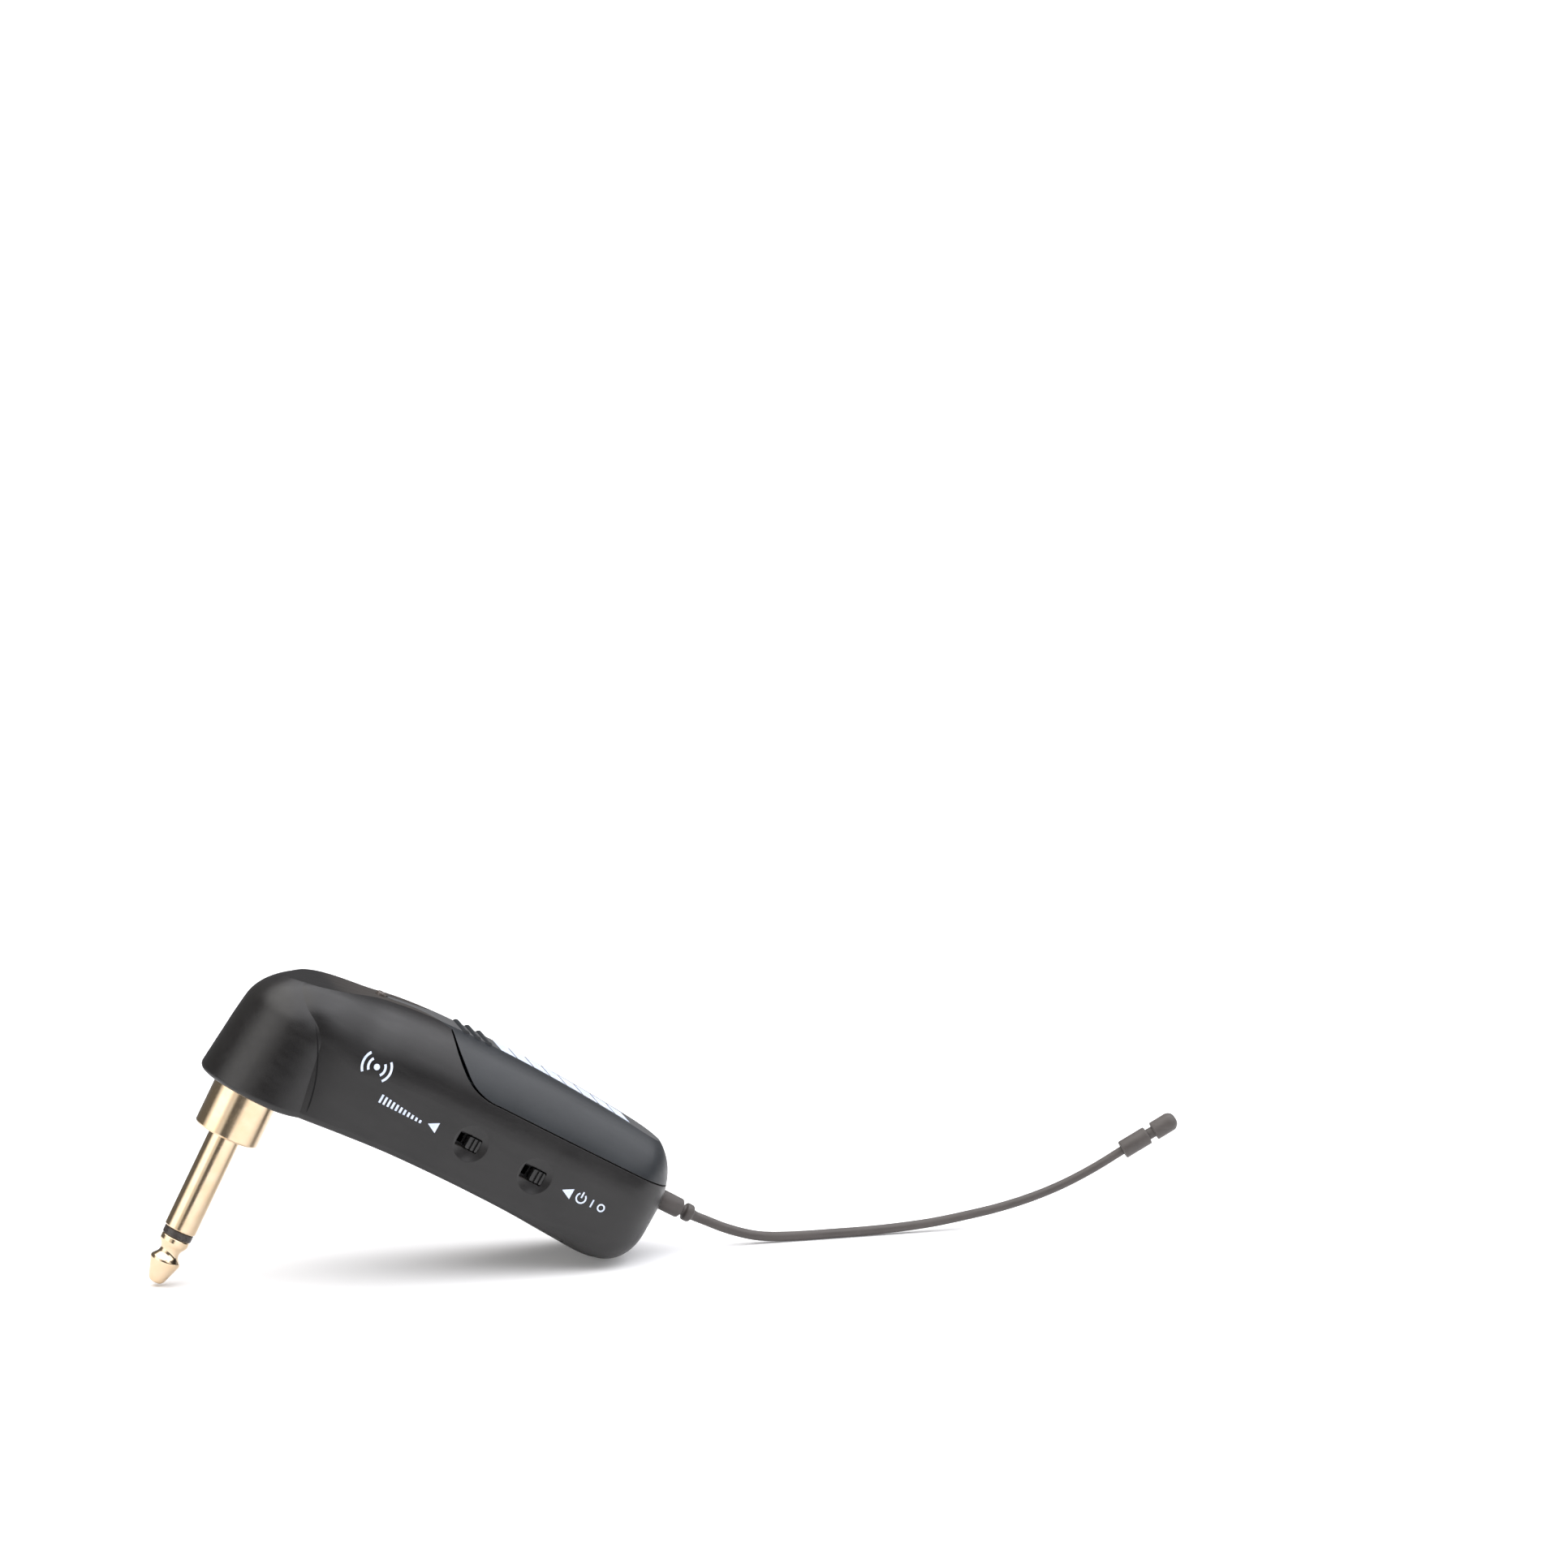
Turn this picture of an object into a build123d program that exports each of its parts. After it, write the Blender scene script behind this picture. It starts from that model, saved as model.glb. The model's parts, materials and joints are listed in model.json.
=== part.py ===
"""Wireless transmitter with a quarter inch plug, a bent whip antenna and a battery tray.

World frame: X towards the tail, Z up, Y across; the origin is the centre of the collar face.
The plug points down from there, leaning towards -X; the body falls away towards +X.
Both switches are on the -Y side.  Millimetres and degrees.
"""
from build123d import *
from math import sin, cos, radians, sqrt
import os

os.makedirs("parts", exist_ok=True)

# ---------------------------------------------------------------- driving dimensions
REST_TILT = 26.2              # lean of the plug from upright at rest on a table
BODY_SLOPE = 4.0              # the body falls this much more towards the tail
BODY_X, BODY_Z = 41.6, 19.0   # body frame origin, plug coordinates

# plug, heights along its axis from the collar face
SLEEVE_R = 3.175
SLEEVE_LEN = 20.6             # collar face to insulating ring
RING_LEN = 1.65
PLUG_LEN = 31.95              # collar face to plug end
COLLAR_R = 6.5

# rounded head, plug coordinates
NOSE_X = 3.6                  # head centre, behind the plug axis
NOSE_A, NOSE_B = 13.8, 13.9   # half length and half width at the bottom
CROWN = 35.6                  # top of the dome
DOME_A, DOME_B = 8.5, 11.0    # rounding of the dome fore and aft, and across
DOME_TILT = 9.0
HEAD_BOTTOM = 9.7

# body, body frame
BODY_FIRST = -45              # foremost station
HOLLOW_FIRST = -38            # foremost station of the hollow
BODY_HALF = 13.85             # half the greatest width
TAIL_END = 42.6
TAIL_R = 9.3
WALL = 2.0
COVER_WALL = 1.6
FACET_CUT = 0.5               # the flat on top lies this far into the rounded top
PARTING_Z = 8.5               # battery cover parting line
COVER_GAP = 0.25
REACH = 25                    # cutters reach this far to each side

# contents, body frame
BOARD_TOP = -2.1
BOARD_T = 1.2
PART_BASE = BOARD_TOP + 0.05  # underside of the parts on the board
BATT_R, BATT_Z = 5.25, 9.2
BATT_FRONT, BATT_REAR = -12.45, 31.05
SWITCHES = {"pad": -0.9, "power": 13.8}   # x of the window centres
SWITCH_Z = -0.2
KNOB_OFFSET = 1.05            # knobs rest at the rear end of their windows
LED_X = -26.5
ANTENNA_Z = 5.0
CASE_SCREWS = [(-24, 7.9), (-24, -7.9), (26, 7.7), (26, -7.7)]   # (x, y)
BOARD_SCREWS = [(-10, 9.0), (17.5, 9.0), (-13, -9.0)]            # (x, y)

# ---------------------------------------------------------------- frames
plug_angle = radians(REST_TILT)
PLUG_BACK = Vector(cos(plug_angle), 0, -sin(plug_angle))
PLUG_UP = Vector(sin(plug_angle), 0, cos(plug_angle))
body_angle = radians(REST_TILT + BODY_SLOPE)
BODY_BACK = Vector(cos(body_angle), 0, -sin(body_angle))
BODY_UP = Vector(sin(body_angle), 0, cos(body_angle))
BODY_ORIGIN = PLUG_BACK * BODY_X + PLUG_UP * BODY_Z
ACROSS = Vector(0, 1, 0)
PLUG_AXIS = Axis((0, 0, 0), tuple(PLUG_UP))
BODY_UP_AXIS = Axis((0, 0, 0), tuple(BODY_UP))


def plug_at(x, y, z):
    return PLUG_BACK * x + ACROSS * y + PLUG_UP * z


def plug_level(z):
    """plane square to the plug axis: local x towards the tail, local y across"""
    return Plane(origin=PLUG_UP * z, x_dir=PLUG_BACK, z_dir=PLUG_UP)


def plug_side(y):
    """upright plane: local x towards the tail, local y up the plug axis, facing -Y"""
    return Plane(origin=ACROSS * y, x_dir=PLUG_BACK, z_dir=-ACROSS)


def body_at(x, y, z):
    return BODY_ORIGIN + BODY_BACK * x + ACROSS * y + BODY_UP * z


def level(z, x=0, y=0):
    """body plane facing up: local x towards the tail, local y across"""
    return Plane(origin=body_at(x, y, z), x_dir=BODY_BACK, z_dir=BODY_UP)


def side(y, x=0, z=0):
    """body plane facing -Y: local x towards the tail, local y up"""
    return Plane(origin=body_at(x, y, z), x_dir=BODY_BACK, z_dir=-ACROSS)


def cross(x, z=0):
    """body plane facing the tail: local x across, local y up"""
    return Plane(origin=body_at(x, 0, z), x_dir=ACROSS, z_dir=BODY_BACK)


# ---------------------------------------------------------------- simple solids
def block(x0, x1, y0, y1, z0, z1):
    """box in the body frame"""
    with BuildPart() as box:
        with BuildSketch(level(z0)):
            with Locations(((x0 + x1) / 2, (y0 + y1) / 2)):
                Rectangle(x1 - x0, y1 - y0)
        extrude(amount=z1 - z0)
    return box.part


def post(x, y, z0, z1, radius):
    """round post square to the board"""
    with BuildPart() as column:
        with BuildSketch(level(z0)):
            with Locations((x, y)):
                Circle(radius)
        extrude(amount=z1 - z0)
    return column.part


def rod(x0, x1, radius, z):
    """round rod along the body axis, on the middle plane"""
    with BuildPart() as bar:
        with BuildSketch(cross(x0)):
            with Locations((0, z)):
                Circle(radius)
        extrude(amount=x1 - x0)
    return bar.part


def turned(points):
    """solid of revolution about the plug axis from (radius, height) points"""
    with BuildPart() as ring:
        with BuildSketch(plug_side(0)):
            with BuildLine():
                Polyline(*points, close=True)
            make_face()
        revolve(axis=PLUG_AXIS)
    return ring.part


def save(part, name):
    part.label = name
    export_step(part, f"parts/{name}.step")


# ---------------------------------------------------------------- body form
# each table: (station x, value), body frame
TOP_HEIGHT = [
    (-45, 9.5), (-42, 12.6), (-39, 13.9), (-36, 14.8), (-30, 15.75), (-23, 16.9), (-14, 17.7),
    (-3, 17.85), (7, 17.85), (17, 17.6), (27, 17.05), (35, 16.5), (44, 15.8)]
HALF_WIDTH = [
    (-45, 8.4), (-42, 10.6), (-39.5, 11.8), (-37.2, 12.55), (-34.5, 13.2), (-31, 13.7),
    (-28, 13.85), (-20, 13.85), (0, 13.85), (18, 13.8), (27, 13.5), (33, 13.2), (44, 12.8)]
LOWER_EDGE = [
    (-45, -10.4), (-42, -11.4), (-39.3, -11.55), (-33, -11.0), (-29.6, -10.6), (-22, -9.9),
    (-15.4, -9.4), (-8, -9.1), (0, -8.95), (8, -8.95), (14.2, -9.05), (20, -9.3), (25.7, -9.6),
    (33, -9.85), (44, -9.95)]
BOTTOM_SAG = [(-42, 0.2), (-20, 0.45), (0, 0.7), (15, 1.0), (33, 1.45), (44, 1.5)]
SHOULDER_R = [(-45, 6.5), (-40, 8.0), (-36, 10), (-31, 12.5), (-27, 14), (44, 14)]
CORNER_R = [(-42, 1.3), (10, 1.4), (20, 2.2), (30, 4.6), (44, 5.2)]

STATIONS = (-45, -42, -39.5, -37, -34.5, -31.5, -28, -24, -19, -13, -7, -1, 5, 11, 17, 22.5, 28)
TAIL_ANGLES = (0, 15, 29, 42, 54, 65, 74.5, 81.5)   # stations round the tail rounding
ARC_MID = 1 - sqrt(0.5)       # middle of a quarter arc, from its corner, in radii


def blend(table, x):
    """smooth value at x from a table of (station, value)"""
    if x <= table[0][0]:
        return table[0][1]
    for k in range(len(table) - 1):
        (x0, v0), (x1, v1) = table[k], table[k + 1]
        if x <= x1:
            before_x, before_v = table[k - 1] if k > 0 else (2 * x0 - x1, 2 * v0 - v1)
            after_x, after_v = table[k + 2] if k + 2 < len(table) else (2 * x1 - x0, 2 * v1 - v0)
            slope0 = (v1 - before_v) / (x1 - before_x)
            slope1 = (after_v - v0) / (after_x - x0)
            span = x1 - x0
            u = (x - x0) / span
            return ((2 * u**3 - 3 * u**2 + 1) * v0 + (u**3 - 2 * u**2 + u) * span * slope0
                    + (-2 * u**3 + 3 * u**2) * v1 + (u**3 - u**2) * span * slope1)
    return table[-1][1]


def tail_drop(x, inset):
    """how far the tail rounding draws the outline in at x"""
    radius = TAIL_R - inset
    into = x - (TAIL_END - inset - radius)
    return 0.0 if into <= 0 else radius - sqrt(max(radius**2 - into**2, 0.0))


def body_stations(inset, first):
    radius = TAIL_R - inset
    centre = TAIL_END - inset - radius
    return ([x for x in STATIONS if x >= first]
            + [centre + radius * sin(radians(angle)) for angle in TAIL_ANGLES])


def body_section(x, inset):
    """face of the body square to its axis, drawn in by inset"""
    drop = tail_drop(x, inset)
    half = blend(HALF_WIDTH, x) - inset - drop
    top = blend(TOP_HEIGHT, x) - inset - drop
    low = blend(LOWER_EDGE, x) + inset + drop * 0.93
    sag = blend(BOTTOM_SAG, x) * (half / BODY_HALF) ** 2
    # a short flat stays on top; the lower corners shrink with the width
    shoulder = min(half - 0.12, blend(SHOULDER_R, x) - inset)
    corner = max(blend(CORNER_R, x) - inset, 0.6) * min(1.0, (half / (13.4 - inset)) ** 0.8)
    shoulder_mid, corner_mid = shoulder * ARC_MID, corner * ARC_MID
    with BuildSketch(cross(x)) as outline:
        with BuildLine():
            Line((-half + shoulder, top), (half - shoulder, top))
            ThreePointArc((half - shoulder, top), (half - shoulder_mid, top - shoulder_mid),
                          (half, top - shoulder))
            Line((half, top - shoulder), (half, low + corner))
            ThreePointArc((half, low + corner), (half - corner_mid, low + corner_mid),
                          (half - corner, low))
            ThreePointArc((half - corner, low), (0, low - sag), (-half + corner, low))
            ThreePointArc((-half + corner, low), (-half + corner_mid, low + corner_mid),
                          (-half, low + corner))
            Line((-half, low + corner), (-half, top - shoulder))
            ThreePointArc((-half, top - shoulder), (-half + shoulder_mid, top - shoulder_mid),
                          (-half + shoulder, top))
        make_face()
    return outline.sketch.face()


def body_form(inset, first=HOLLOW_FIRST):
    with BuildPart() as form:
        loft([body_section(x, inset) for x in body_stations(inset, first)])
    return form.part


# ---------------------------------------------------------------- top line
# (x, z) in plug coordinates; the flat follows it FACET_CUT lower
TOP_LINE = [
    (-16, 29.4), (-4, 33.4), (3, 35.3), (11, 36.6), (20, 37.5), (29, 37.6), (40, 37.0),
    (50, 36.2), (60, 35.1), (70, 33.75), (80, 32.1), (92, 29.9)]


def above(lowered):
    """everything above the lowered top line, as a cutter"""
    with BuildPart() as cutter:
        with BuildSketch(plug_side(REACH)):
            with BuildLine():
                points = [(x, z - lowered) for x, z in TOP_LINE]
                Spline(*points)
                Polyline(points[-1], (92, 60), (-16, 60), points[0])
            make_face()
        extrude(amount=2 * REACH)
    return cutter.part


# ---------------------------------------------------------------- head form
# depths of the head outlines below the crown
HEAD_DEPTHS = (
    29.6, 27.6, 25.6, 23.6, 21.6, 19.6, 17.6, 15.6, 13.8, 12.2, 10.8, 9.6, 8.5,
    7.4, 6.3, 5.3, 4.4, 3.6, 2.9, 2.3, 1.7, 1.2, 0.8, 0.5, 0.3)
TAPER_A, TAPER_B = 0.135, 0.07   # the half axes shrink this much per mm of height
NOSE_ARC_START = 72              # the elliptical arc begins here, straight tangents behind it
NOSE_REAR = 7.0                  # rear edge of the outline, from the head centre


def dome_drop(radius, depth):
    return radius - sqrt(radius**2 - (radius - depth) ** 2) if depth < radius else 0


def nose_outline(depth):
    """outline of the head, this far below its crown"""
    z = CROWN - depth
    half_length = NOSE_A - TAPER_A * (z - HEAD_BOTTOM) - dome_drop(DOME_A, depth)
    half_width = NOSE_B - TAPER_B * (z - HEAD_BOTTOM) - dome_drop(DOME_B, depth)
    tilt = radians(DOME_TILT * max(0.0, min(1.0, (14 - depth) / 12)))
    start = radians(NOSE_ARC_START)
    arc_x, arc_y = half_length * cos(start), half_width * sin(start)
    tangent = half_width * cos(start) / (half_length * sin(start))
    rear_y = arc_y - tangent * (NOSE_REAR - arc_x)
    frame = Plane(origin=PLUG_BACK * NOSE_X + PLUG_UP * z,
                  x_dir=PLUG_BACK * cos(tilt) + PLUG_UP * sin(tilt),
                  z_dir=PLUG_UP * cos(tilt) - PLUG_BACK * sin(tilt))
    with BuildSketch(frame) as outline:
        with BuildLine():
            EllipticalCenterArc((0, 0), half_length, half_width,
                                start_angle=NOSE_ARC_START, arc_size=360 - 2 * NOSE_ARC_START)
            Polyline((arc_x, -arc_y), (NOSE_REAR, -rear_y), (NOSE_REAR, rear_y), (arc_x, arc_y))
        make_face()
    return outline.sketch.face()


with BuildPart() as head_form:
    loft([nose_outline(depth) for depth in HEAD_DEPTHS])
    # trim the underside: level in front, rising towards the body
    with BuildSketch(plug_side(REACH)):
        with BuildLine():
            rise = (1.5, HEAD_BOTTOM + 0.05)
            Polyline((-16, HEAD_BOTTOM), rise)
            Spline(rise, (7, 10.2), (14, 11.2), tangents=((1, 0.01), (1, 0.15)))
            Polyline((14, 11.2), (14, -5), (-16, -5), (-16, HEAD_BOTTOM))
        make_face()
    extrude(amount=2 * REACH, mode=Mode.SUBTRACT)
    # round the lower rim, but not its rear edge inside the body
    sole = head_form.faces().filter_by(
        lambda f: abs(f.normal_at().dot(PLUG_UP)) > 0.9 and f.center().dot(PLUG_UP) < 11.5)
    base = sole.edges().filter_by(
        lambda e: (e @ 0.5).dot(PLUG_BACK) < 10.4
        and (abs((e @ 0.5).Y) > 0.01 or (e @ 0.5).dot(PLUG_BACK) < -5))
    rim = base.filter_by(
        lambda e: (e @ 0).dot(PLUG_BACK) < 3 or (e @ 1).dot(PLUG_BACK) < 3
        or abs((e @ 0.5).Y) > 11)
    fillet(rim, 1.2)

with BuildPart() as outer:
    add(head_form.part)
    add(body_form(0.0, BODY_FIRST))
    add(above(FACET_CUT), mode=Mode.SUBTRACT)

# ---------------------------------------------------------------- hollows
hollow = body_form(WALL)
hollow_fit = body_form(WALL + 0.15)
hollow_cover = body_form(COVER_WALL)


def hollow_outline(z, half_length, half_width):
    rear = 13.5
    with BuildSketch(plug_level(z)) as outline:
        with BuildLine():
            EllipticalCenterArc((NOSE_X, 0), half_length, half_width, start_angle=90, arc_size=180)
            Polyline((NOSE_X, -half_width), (rear, -half_width), (rear, half_width),
                     (NOSE_X, half_width))
        make_face()
    return outline.sketch.face()


with BuildPart() as head_hollow:
    loft([hollow_outline(HEAD_BOTTOM + WALL, 11.35, 11.6), hollow_outline(30.2, 9.2, 10.3)],
         ruled=True)
    fillet(head_hollow.faces().sort_by(PLUG_AXIS)[-1].edges(), 4.0)

# ---------------------------------------------------------------- zones that divide the case
# battery cover parting profile, body frame: (x, z, shift in x, shift in z);
# the shifts move the line to the cover's own edge
PARTING_LINE = [
    (-15.2, 20.6, 0.24, 0.14), (-14.0, 18.6, 0.26, 0.16), (-12.6, 17.0, 0.30, 0.20),
    (-11.5, 15.4, 0.36, 0.28), (-10.1, 13.6, 0.43, 0.40), (-8.2, 11.7, 0.42, 0.50),
    (-5.8, 9.9, 0.22, 0.45), (-2.7, 8.75, 0.06, 0.34), (1.5, PARTING_Z, 0, COVER_GAP)]
# half outline of the tongue seen from above, body frame: (x, y)
TONGUE_HALF = [
    (-24.1, 1.05), (-20.5, 1.2), (-18.0, 1.7), (-16.2, 2.6), (-14.9, 3.6), (-13.7, 4.4),
    (-12.5, 4.9)]
TONGUE_REAR = -9.0


def cover_zone(shifted):
    """space above and behind the parting line, shifted for the cover itself"""
    share = 1 if shifted else 0
    points = [(x + share * dx, z + share * dz) for x, z, dx, dz in PARTING_LINE]
    with BuildPart() as zone:
        with BuildSketch(side(REACH)):
            with BuildLine():
                Spline(*points)
                Polyline(points[-1], (60, points[-1][1]), (60, 40), (points[0][0], 40), points[0])
            make_face()
        extrude(amount=2 * REACH)
    return zone.part


def tongue_zone(gap, depth):
    """narrow tongue of the cover that runs forward to the indicator"""
    half = [(x, y + gap) for x, y in TONGUE_HALF]
    tip_x, tip_y = half[0]
    root_x, root_y = half[-1]
    with BuildPart() as zone:
        with BuildSketch(level(10)):
            with BuildLine():
                Spline(*half)
                Polyline((root_x, root_y), (TONGUE_REAR, root_y), (TONGUE_REAR, -root_y),
                         (root_x, -root_y))
                Spline(*[(x, -y) for x, y in half[::-1]])
                ThreePointArc((tip_x, -tip_y), (tip_x - tip_y, 0), (tip_x, tip_y))
            make_face()
        extrude(amount=15)
        add(above(FACET_CUT + depth), mode=Mode.INTERSECT)
    return zone.part


def plate_zone(gap):
    """rounded rectangle of the bottom cover"""
    bottom, top = -18.0, -4.5
    with BuildPart() as zone:
        with BuildSketch(level(bottom)):
            with Locations((0.9, 0)):
                RectangleRounded(62.4 + 2 * gap, 21.6 + 2 * gap, 4.5 + gap)
        extrude(amount=top - bottom)
    return zone.part


# ---------------------------------------------------------------- housing
BOSS_TOP = -3.4
WEB_END = 12.6                # the webs run out into the side walls
DISH_R, DISH_DEPTH = 8.05, 0.85

# rim that reaches up inside the battery cover
with BuildPart() as lip:
    add(body_form(WALL - 0.15))
    add(body_form(WALL + 0.7), mode=Mode.SUBTRACT)
    add(block(0.5, 60, -20, 20, 7.15, 9.4), mode=Mode.INTERSECT)

with BuildPart() as main_housing:
    add(outer.part)
    add(hollow, mode=Mode.SUBTRACT)
    add(head_hollow.part, mode=Mode.SUBTRACT)
    add(cover_zone(False), mode=Mode.SUBTRACT)
    add(tongue_zone(0.16, 0.85), mode=Mode.SUBTRACT)
    add(lip.part)
    add(plate_zone(0.15), mode=Mode.SUBTRACT)
    # screw bosses, joined to the side walls by webs
    for places, foot, radius, half_web in ((CASE_SCREWS, -6.9, 2.3, 1.4),
                                           (BOARD_SCREWS, -6.4, 2.1, 1.2)):
        for x, y in places:
            wall_y = WEB_END if y > 0 else -WEB_END
            add(post(x, y, foot, BOSS_TOP, radius))
            add(block(x - half_web, x + half_web, min(y, wall_y), max(y, wall_y), foot, BOSS_TOP))
    for places, bottom, top in ((CASE_SCREWS, -7.0, -3.9), (BOARD_SCREWS, -5.9, -3.3)):
        for x, y in places:
            add(post(x, y, bottom, top, 0.9), mode=Mode.SUBTRACT)
    # plug hole, indicator hole, antenna hole
    with BuildSketch(plug_level(5)):
        Circle(COLLAR_R + 0.05)
    extrude(amount=9, mode=Mode.SUBTRACT)
    add(post(LED_X, 0, 8, 20, 1.1), mode=Mode.SUBTRACT)
    add(rod(38.0, 44, 1.5, ANTENNA_Z), mode=Mode.SUBTRACT)
    # switch dishes and windows
    for x in SWITCHES.values():
        with Locations(Location(body_at(x + 0.45, -BODY_HALF - DISH_R + DISH_DEPTH, SWITCH_Z))):
            Sphere(DISH_R, mode=Mode.SUBTRACT)
        with BuildSketch(side(-11.0)):
            with Locations((x, SWITCH_Z)):
                RectangleRounded(4.95, 2.9, 0.3)
        extrude(amount=4, mode=Mode.SUBTRACT)
save(main_housing.part, "main_housing")

# ---------------------------------------------------------------- bottom cover
CASE_SCREW_SEAT = -8.75

with BuildPart() as bottom_cover:
    add(outer.part)
    add(hollow, mode=Mode.SUBTRACT)
    add(head_hollow.part, mode=Mode.SUBTRACT)
    add(plate_zone(0), mode=Mode.INTERSECT)
    for x, y in CASE_SCREWS:
        add(post(x, y, -9.3, -7.0, 2.5))
    # clearance holes, and wider recesses for the heads
    for x, y in CASE_SCREWS:
        add(post(x, y, -9.5, -6.5, 1.1), mode=Mode.SUBTRACT)
        add(post(x, y, -14, CASE_SCREW_SEAT + 0.05, 2.1), mode=Mode.SUBTRACT)
save(bottom_cover.part, "bottom_cover")

# ---------------------------------------------------------------- battery cover
BAR_X = (-8.9, -6.3, -3.7)
BAR_HALF = 4.1

with BuildPart() as tongue:
    add(outer.part)
    add(tongue_zone(0, 0.75), mode=Mode.INTERSECT)

with BuildPart() as battery_cover:
    add(outer.part)
    add(hollow_cover, mode=Mode.SUBTRACT)
    add(cover_zone(True), mode=Mode.INTERSECT)
    add(tongue.part)
    # round bars across the cover near its front
    for x in BAR_X:
        with BuildSketch(side(BAR_HALF, x, 16.95)):
            Circle(0.85)
        extrude(amount=2 * BAR_HALF)
save(battery_cover.part, "battery_cover")

# ---------------------------------------------------------------- battery tray
TRAY_FRONT, TRAY_REAR = -15.0, 37.7
BAY_FRONT, BAY_REAR = -13.9, 36.7   # inner faces of the end walls
TRAY_R, BAY_R = 6.5, 5.4

with BuildPart() as battery_tray:
    add(block(TRAY_FRONT, 38.2, -11.7, 11.7, 5.1, 6.3))
    add(rod(TRAY_FRONT, TRAY_REAR, TRAY_R, BATT_Z))
    add(block(TRAY_FRONT, TRAY_REAR, -TRAY_R, TRAY_R, 8.2, 16.5), mode=Mode.SUBTRACT)
    for x0, x1 in ((TRAY_FRONT, BAY_FRONT), (BAY_REAR, TRAY_REAR)):
        add(block(x0, x1, -BAY_R, BAY_R, 6.0, 12.2))
    add(rod(BAY_FRONT, BAY_REAR, BAY_R, BATT_Z), mode=Mode.SUBTRACT)
    add(block(2, 20, -2.2, 2.2, 1, 8), mode=Mode.SUBTRACT)
    add(hollow_fit, mode=Mode.INTERSECT)
save(battery_tray.part, "battery_tray")

# ---------------------------------------------------------------- battery cell, its nub in front
with BuildPart() as battery_cell:
    with BuildSketch(cross(BATT_FRONT, BATT_Z)):
        Circle(BATT_R)
    extrude(amount=BATT_REAR - BATT_FRONT)
    fillet(battery_cell.edges().filter_by(GeomType.CIRCLE), 0.5)
    with BuildSketch(cross(BATT_FRONT + 0.2, BATT_Z)):
        Circle(1.9)
    extrude(amount=-1.15)
save(battery_cell.part, "battery_cell")

# ---------------------------------------------------------------- battery contacts
with BuildPart() as battery_contact_plates:
    for x in (-13.8, 36.3):
        with BuildSketch(cross(x, 9.3)):
            RectangleRounded(7.6, 7.2, 1.0)
        extrude(amount=0.3)
save(battery_contact_plates.part, "battery_contact_plates")

with BuildPart() as battery_spring:
    with BuildLine() as coil:
        Helix(pitch=1.1, height=4.4, radius=2.3, center=body_at(BATT_REAR + 0.4, 0, BATT_Z),
              direction=BODY_BACK, cone_angle=14)
    with BuildSketch(Plane(origin=coil.line @ 0, z_dir=coil.line % 0)):
        Circle(0.28)
    sweep(is_frenet=True)
save(battery_spring.part, "battery_spring")

# ---------------------------------------------------------------- circuit board
with BuildPart() as circuit_board:
    add(block(-28.8, 36, -10.9, 10.9, BOARD_TOP - BOARD_T, BOARD_TOP))
    add(body_form(WALL + 0.3), mode=Mode.INTERSECT)
    for x, y in BOARD_SCREWS:
        add(post(x, y, -4, 0, 1.1), mode=Mode.SUBTRACT)
save(circuit_board.part, "circuit_board")

# ---------------------------------------------------------------- shield can
CAN_WALL = 0.3
CAN_X0, CAN_X1, CAN_Y0, CAN_Y1, CAN_TOP = -22, -7.5, -5.5, 6.5, 0.6
HOLE_FIRST, HOLE_PITCH = -19.5, 3.2

with BuildPart() as rf_shield_can:
    add(block(CAN_X0, CAN_X1, CAN_Y0, CAN_Y1, PART_BASE, CAN_TOP))
    upright = rf_shield_can.edges().filter_by(lambda e: abs((e % 0.5).dot(BODY_UP)) > 0.99)
    fillet(upright, 0.6)
    add(block(CAN_X0 + CAN_WALL, CAN_X1 - CAN_WALL, CAN_Y0 + CAN_WALL, CAN_Y1 - CAN_WALL,
              BOARD_TOP, CAN_TOP - CAN_WALL), mode=Mode.SUBTRACT)
    for k in range(4):
        for y in (-3.6, 4.6):
            add(post(HOLE_FIRST + HOLE_PITCH * k, y, 0, 1, 0.5), mode=Mode.SUBTRACT)
save(rf_shield_can.part, "rf_shield_can")

# ---------------------------------------------------------------- chips and small parts
# (x0, x1, y0, y1, height)
CHIPS = [(-3.5, 1.6, -3.0, 1.6, 1.5), (5.5, 10.6, -2.4, 2.6, 1.5), (20.5, 24.5, -7.0, -3.0, 0.9)]
# centres (x, y)
PASSIVES = [
    (15.5, 3.5), (15.5, 5.3), (12.6, 4.6), (20.8, 1.2), (23.2, 1.2), (30.5, -5.0), (30.5, -2.8)]
SMALL_HEIGHT = 0.75

with BuildPart() as board_chips:
    for x0, x1, y0, y1, height in CHIPS:
        add(block(x0, x1, y0, y1, PART_BASE, PART_BASE + height))
    chamfer(board_chips.faces().filter_by(lambda f: f.normal_at().dot(BODY_UP) > 0.99).edges(),
            0.15)
save(board_chips.part, "board_chips")

with BuildPart() as board_passives:
    for x, y in PASSIVES:
        add(block(x - 1.0, x + 1.0, y - 0.6, y + 0.6, PART_BASE, PART_BASE + SMALL_HEIGHT))
    # one taller part with round ends
    with BuildSketch(level(PART_BASE)):
        with Locations((3.0, 7.4)):
            SlotOverall(10.2, 3.8)
    extrude(amount=2.8)
save(board_passives.part, "board_passives")

with BuildPart() as board_capacitor:
    with BuildSketch(level(PART_BASE)):
        with Locations((27.0, 6.6)):
            Circle(2.5)
    extrude(amount=5.0)
    fillet(board_capacitor.edges().filter_by(GeomType.CIRCLE), 0.35)
save(board_capacitor.part, "board_capacitor")

# ---------------------------------------------------------------- indicator
save(block(LED_X - 1.0, LED_X + 1.0, -0.8, 0.8, PART_BASE, PART_BASE + SMALL_HEIGHT), "led_chip")

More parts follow.
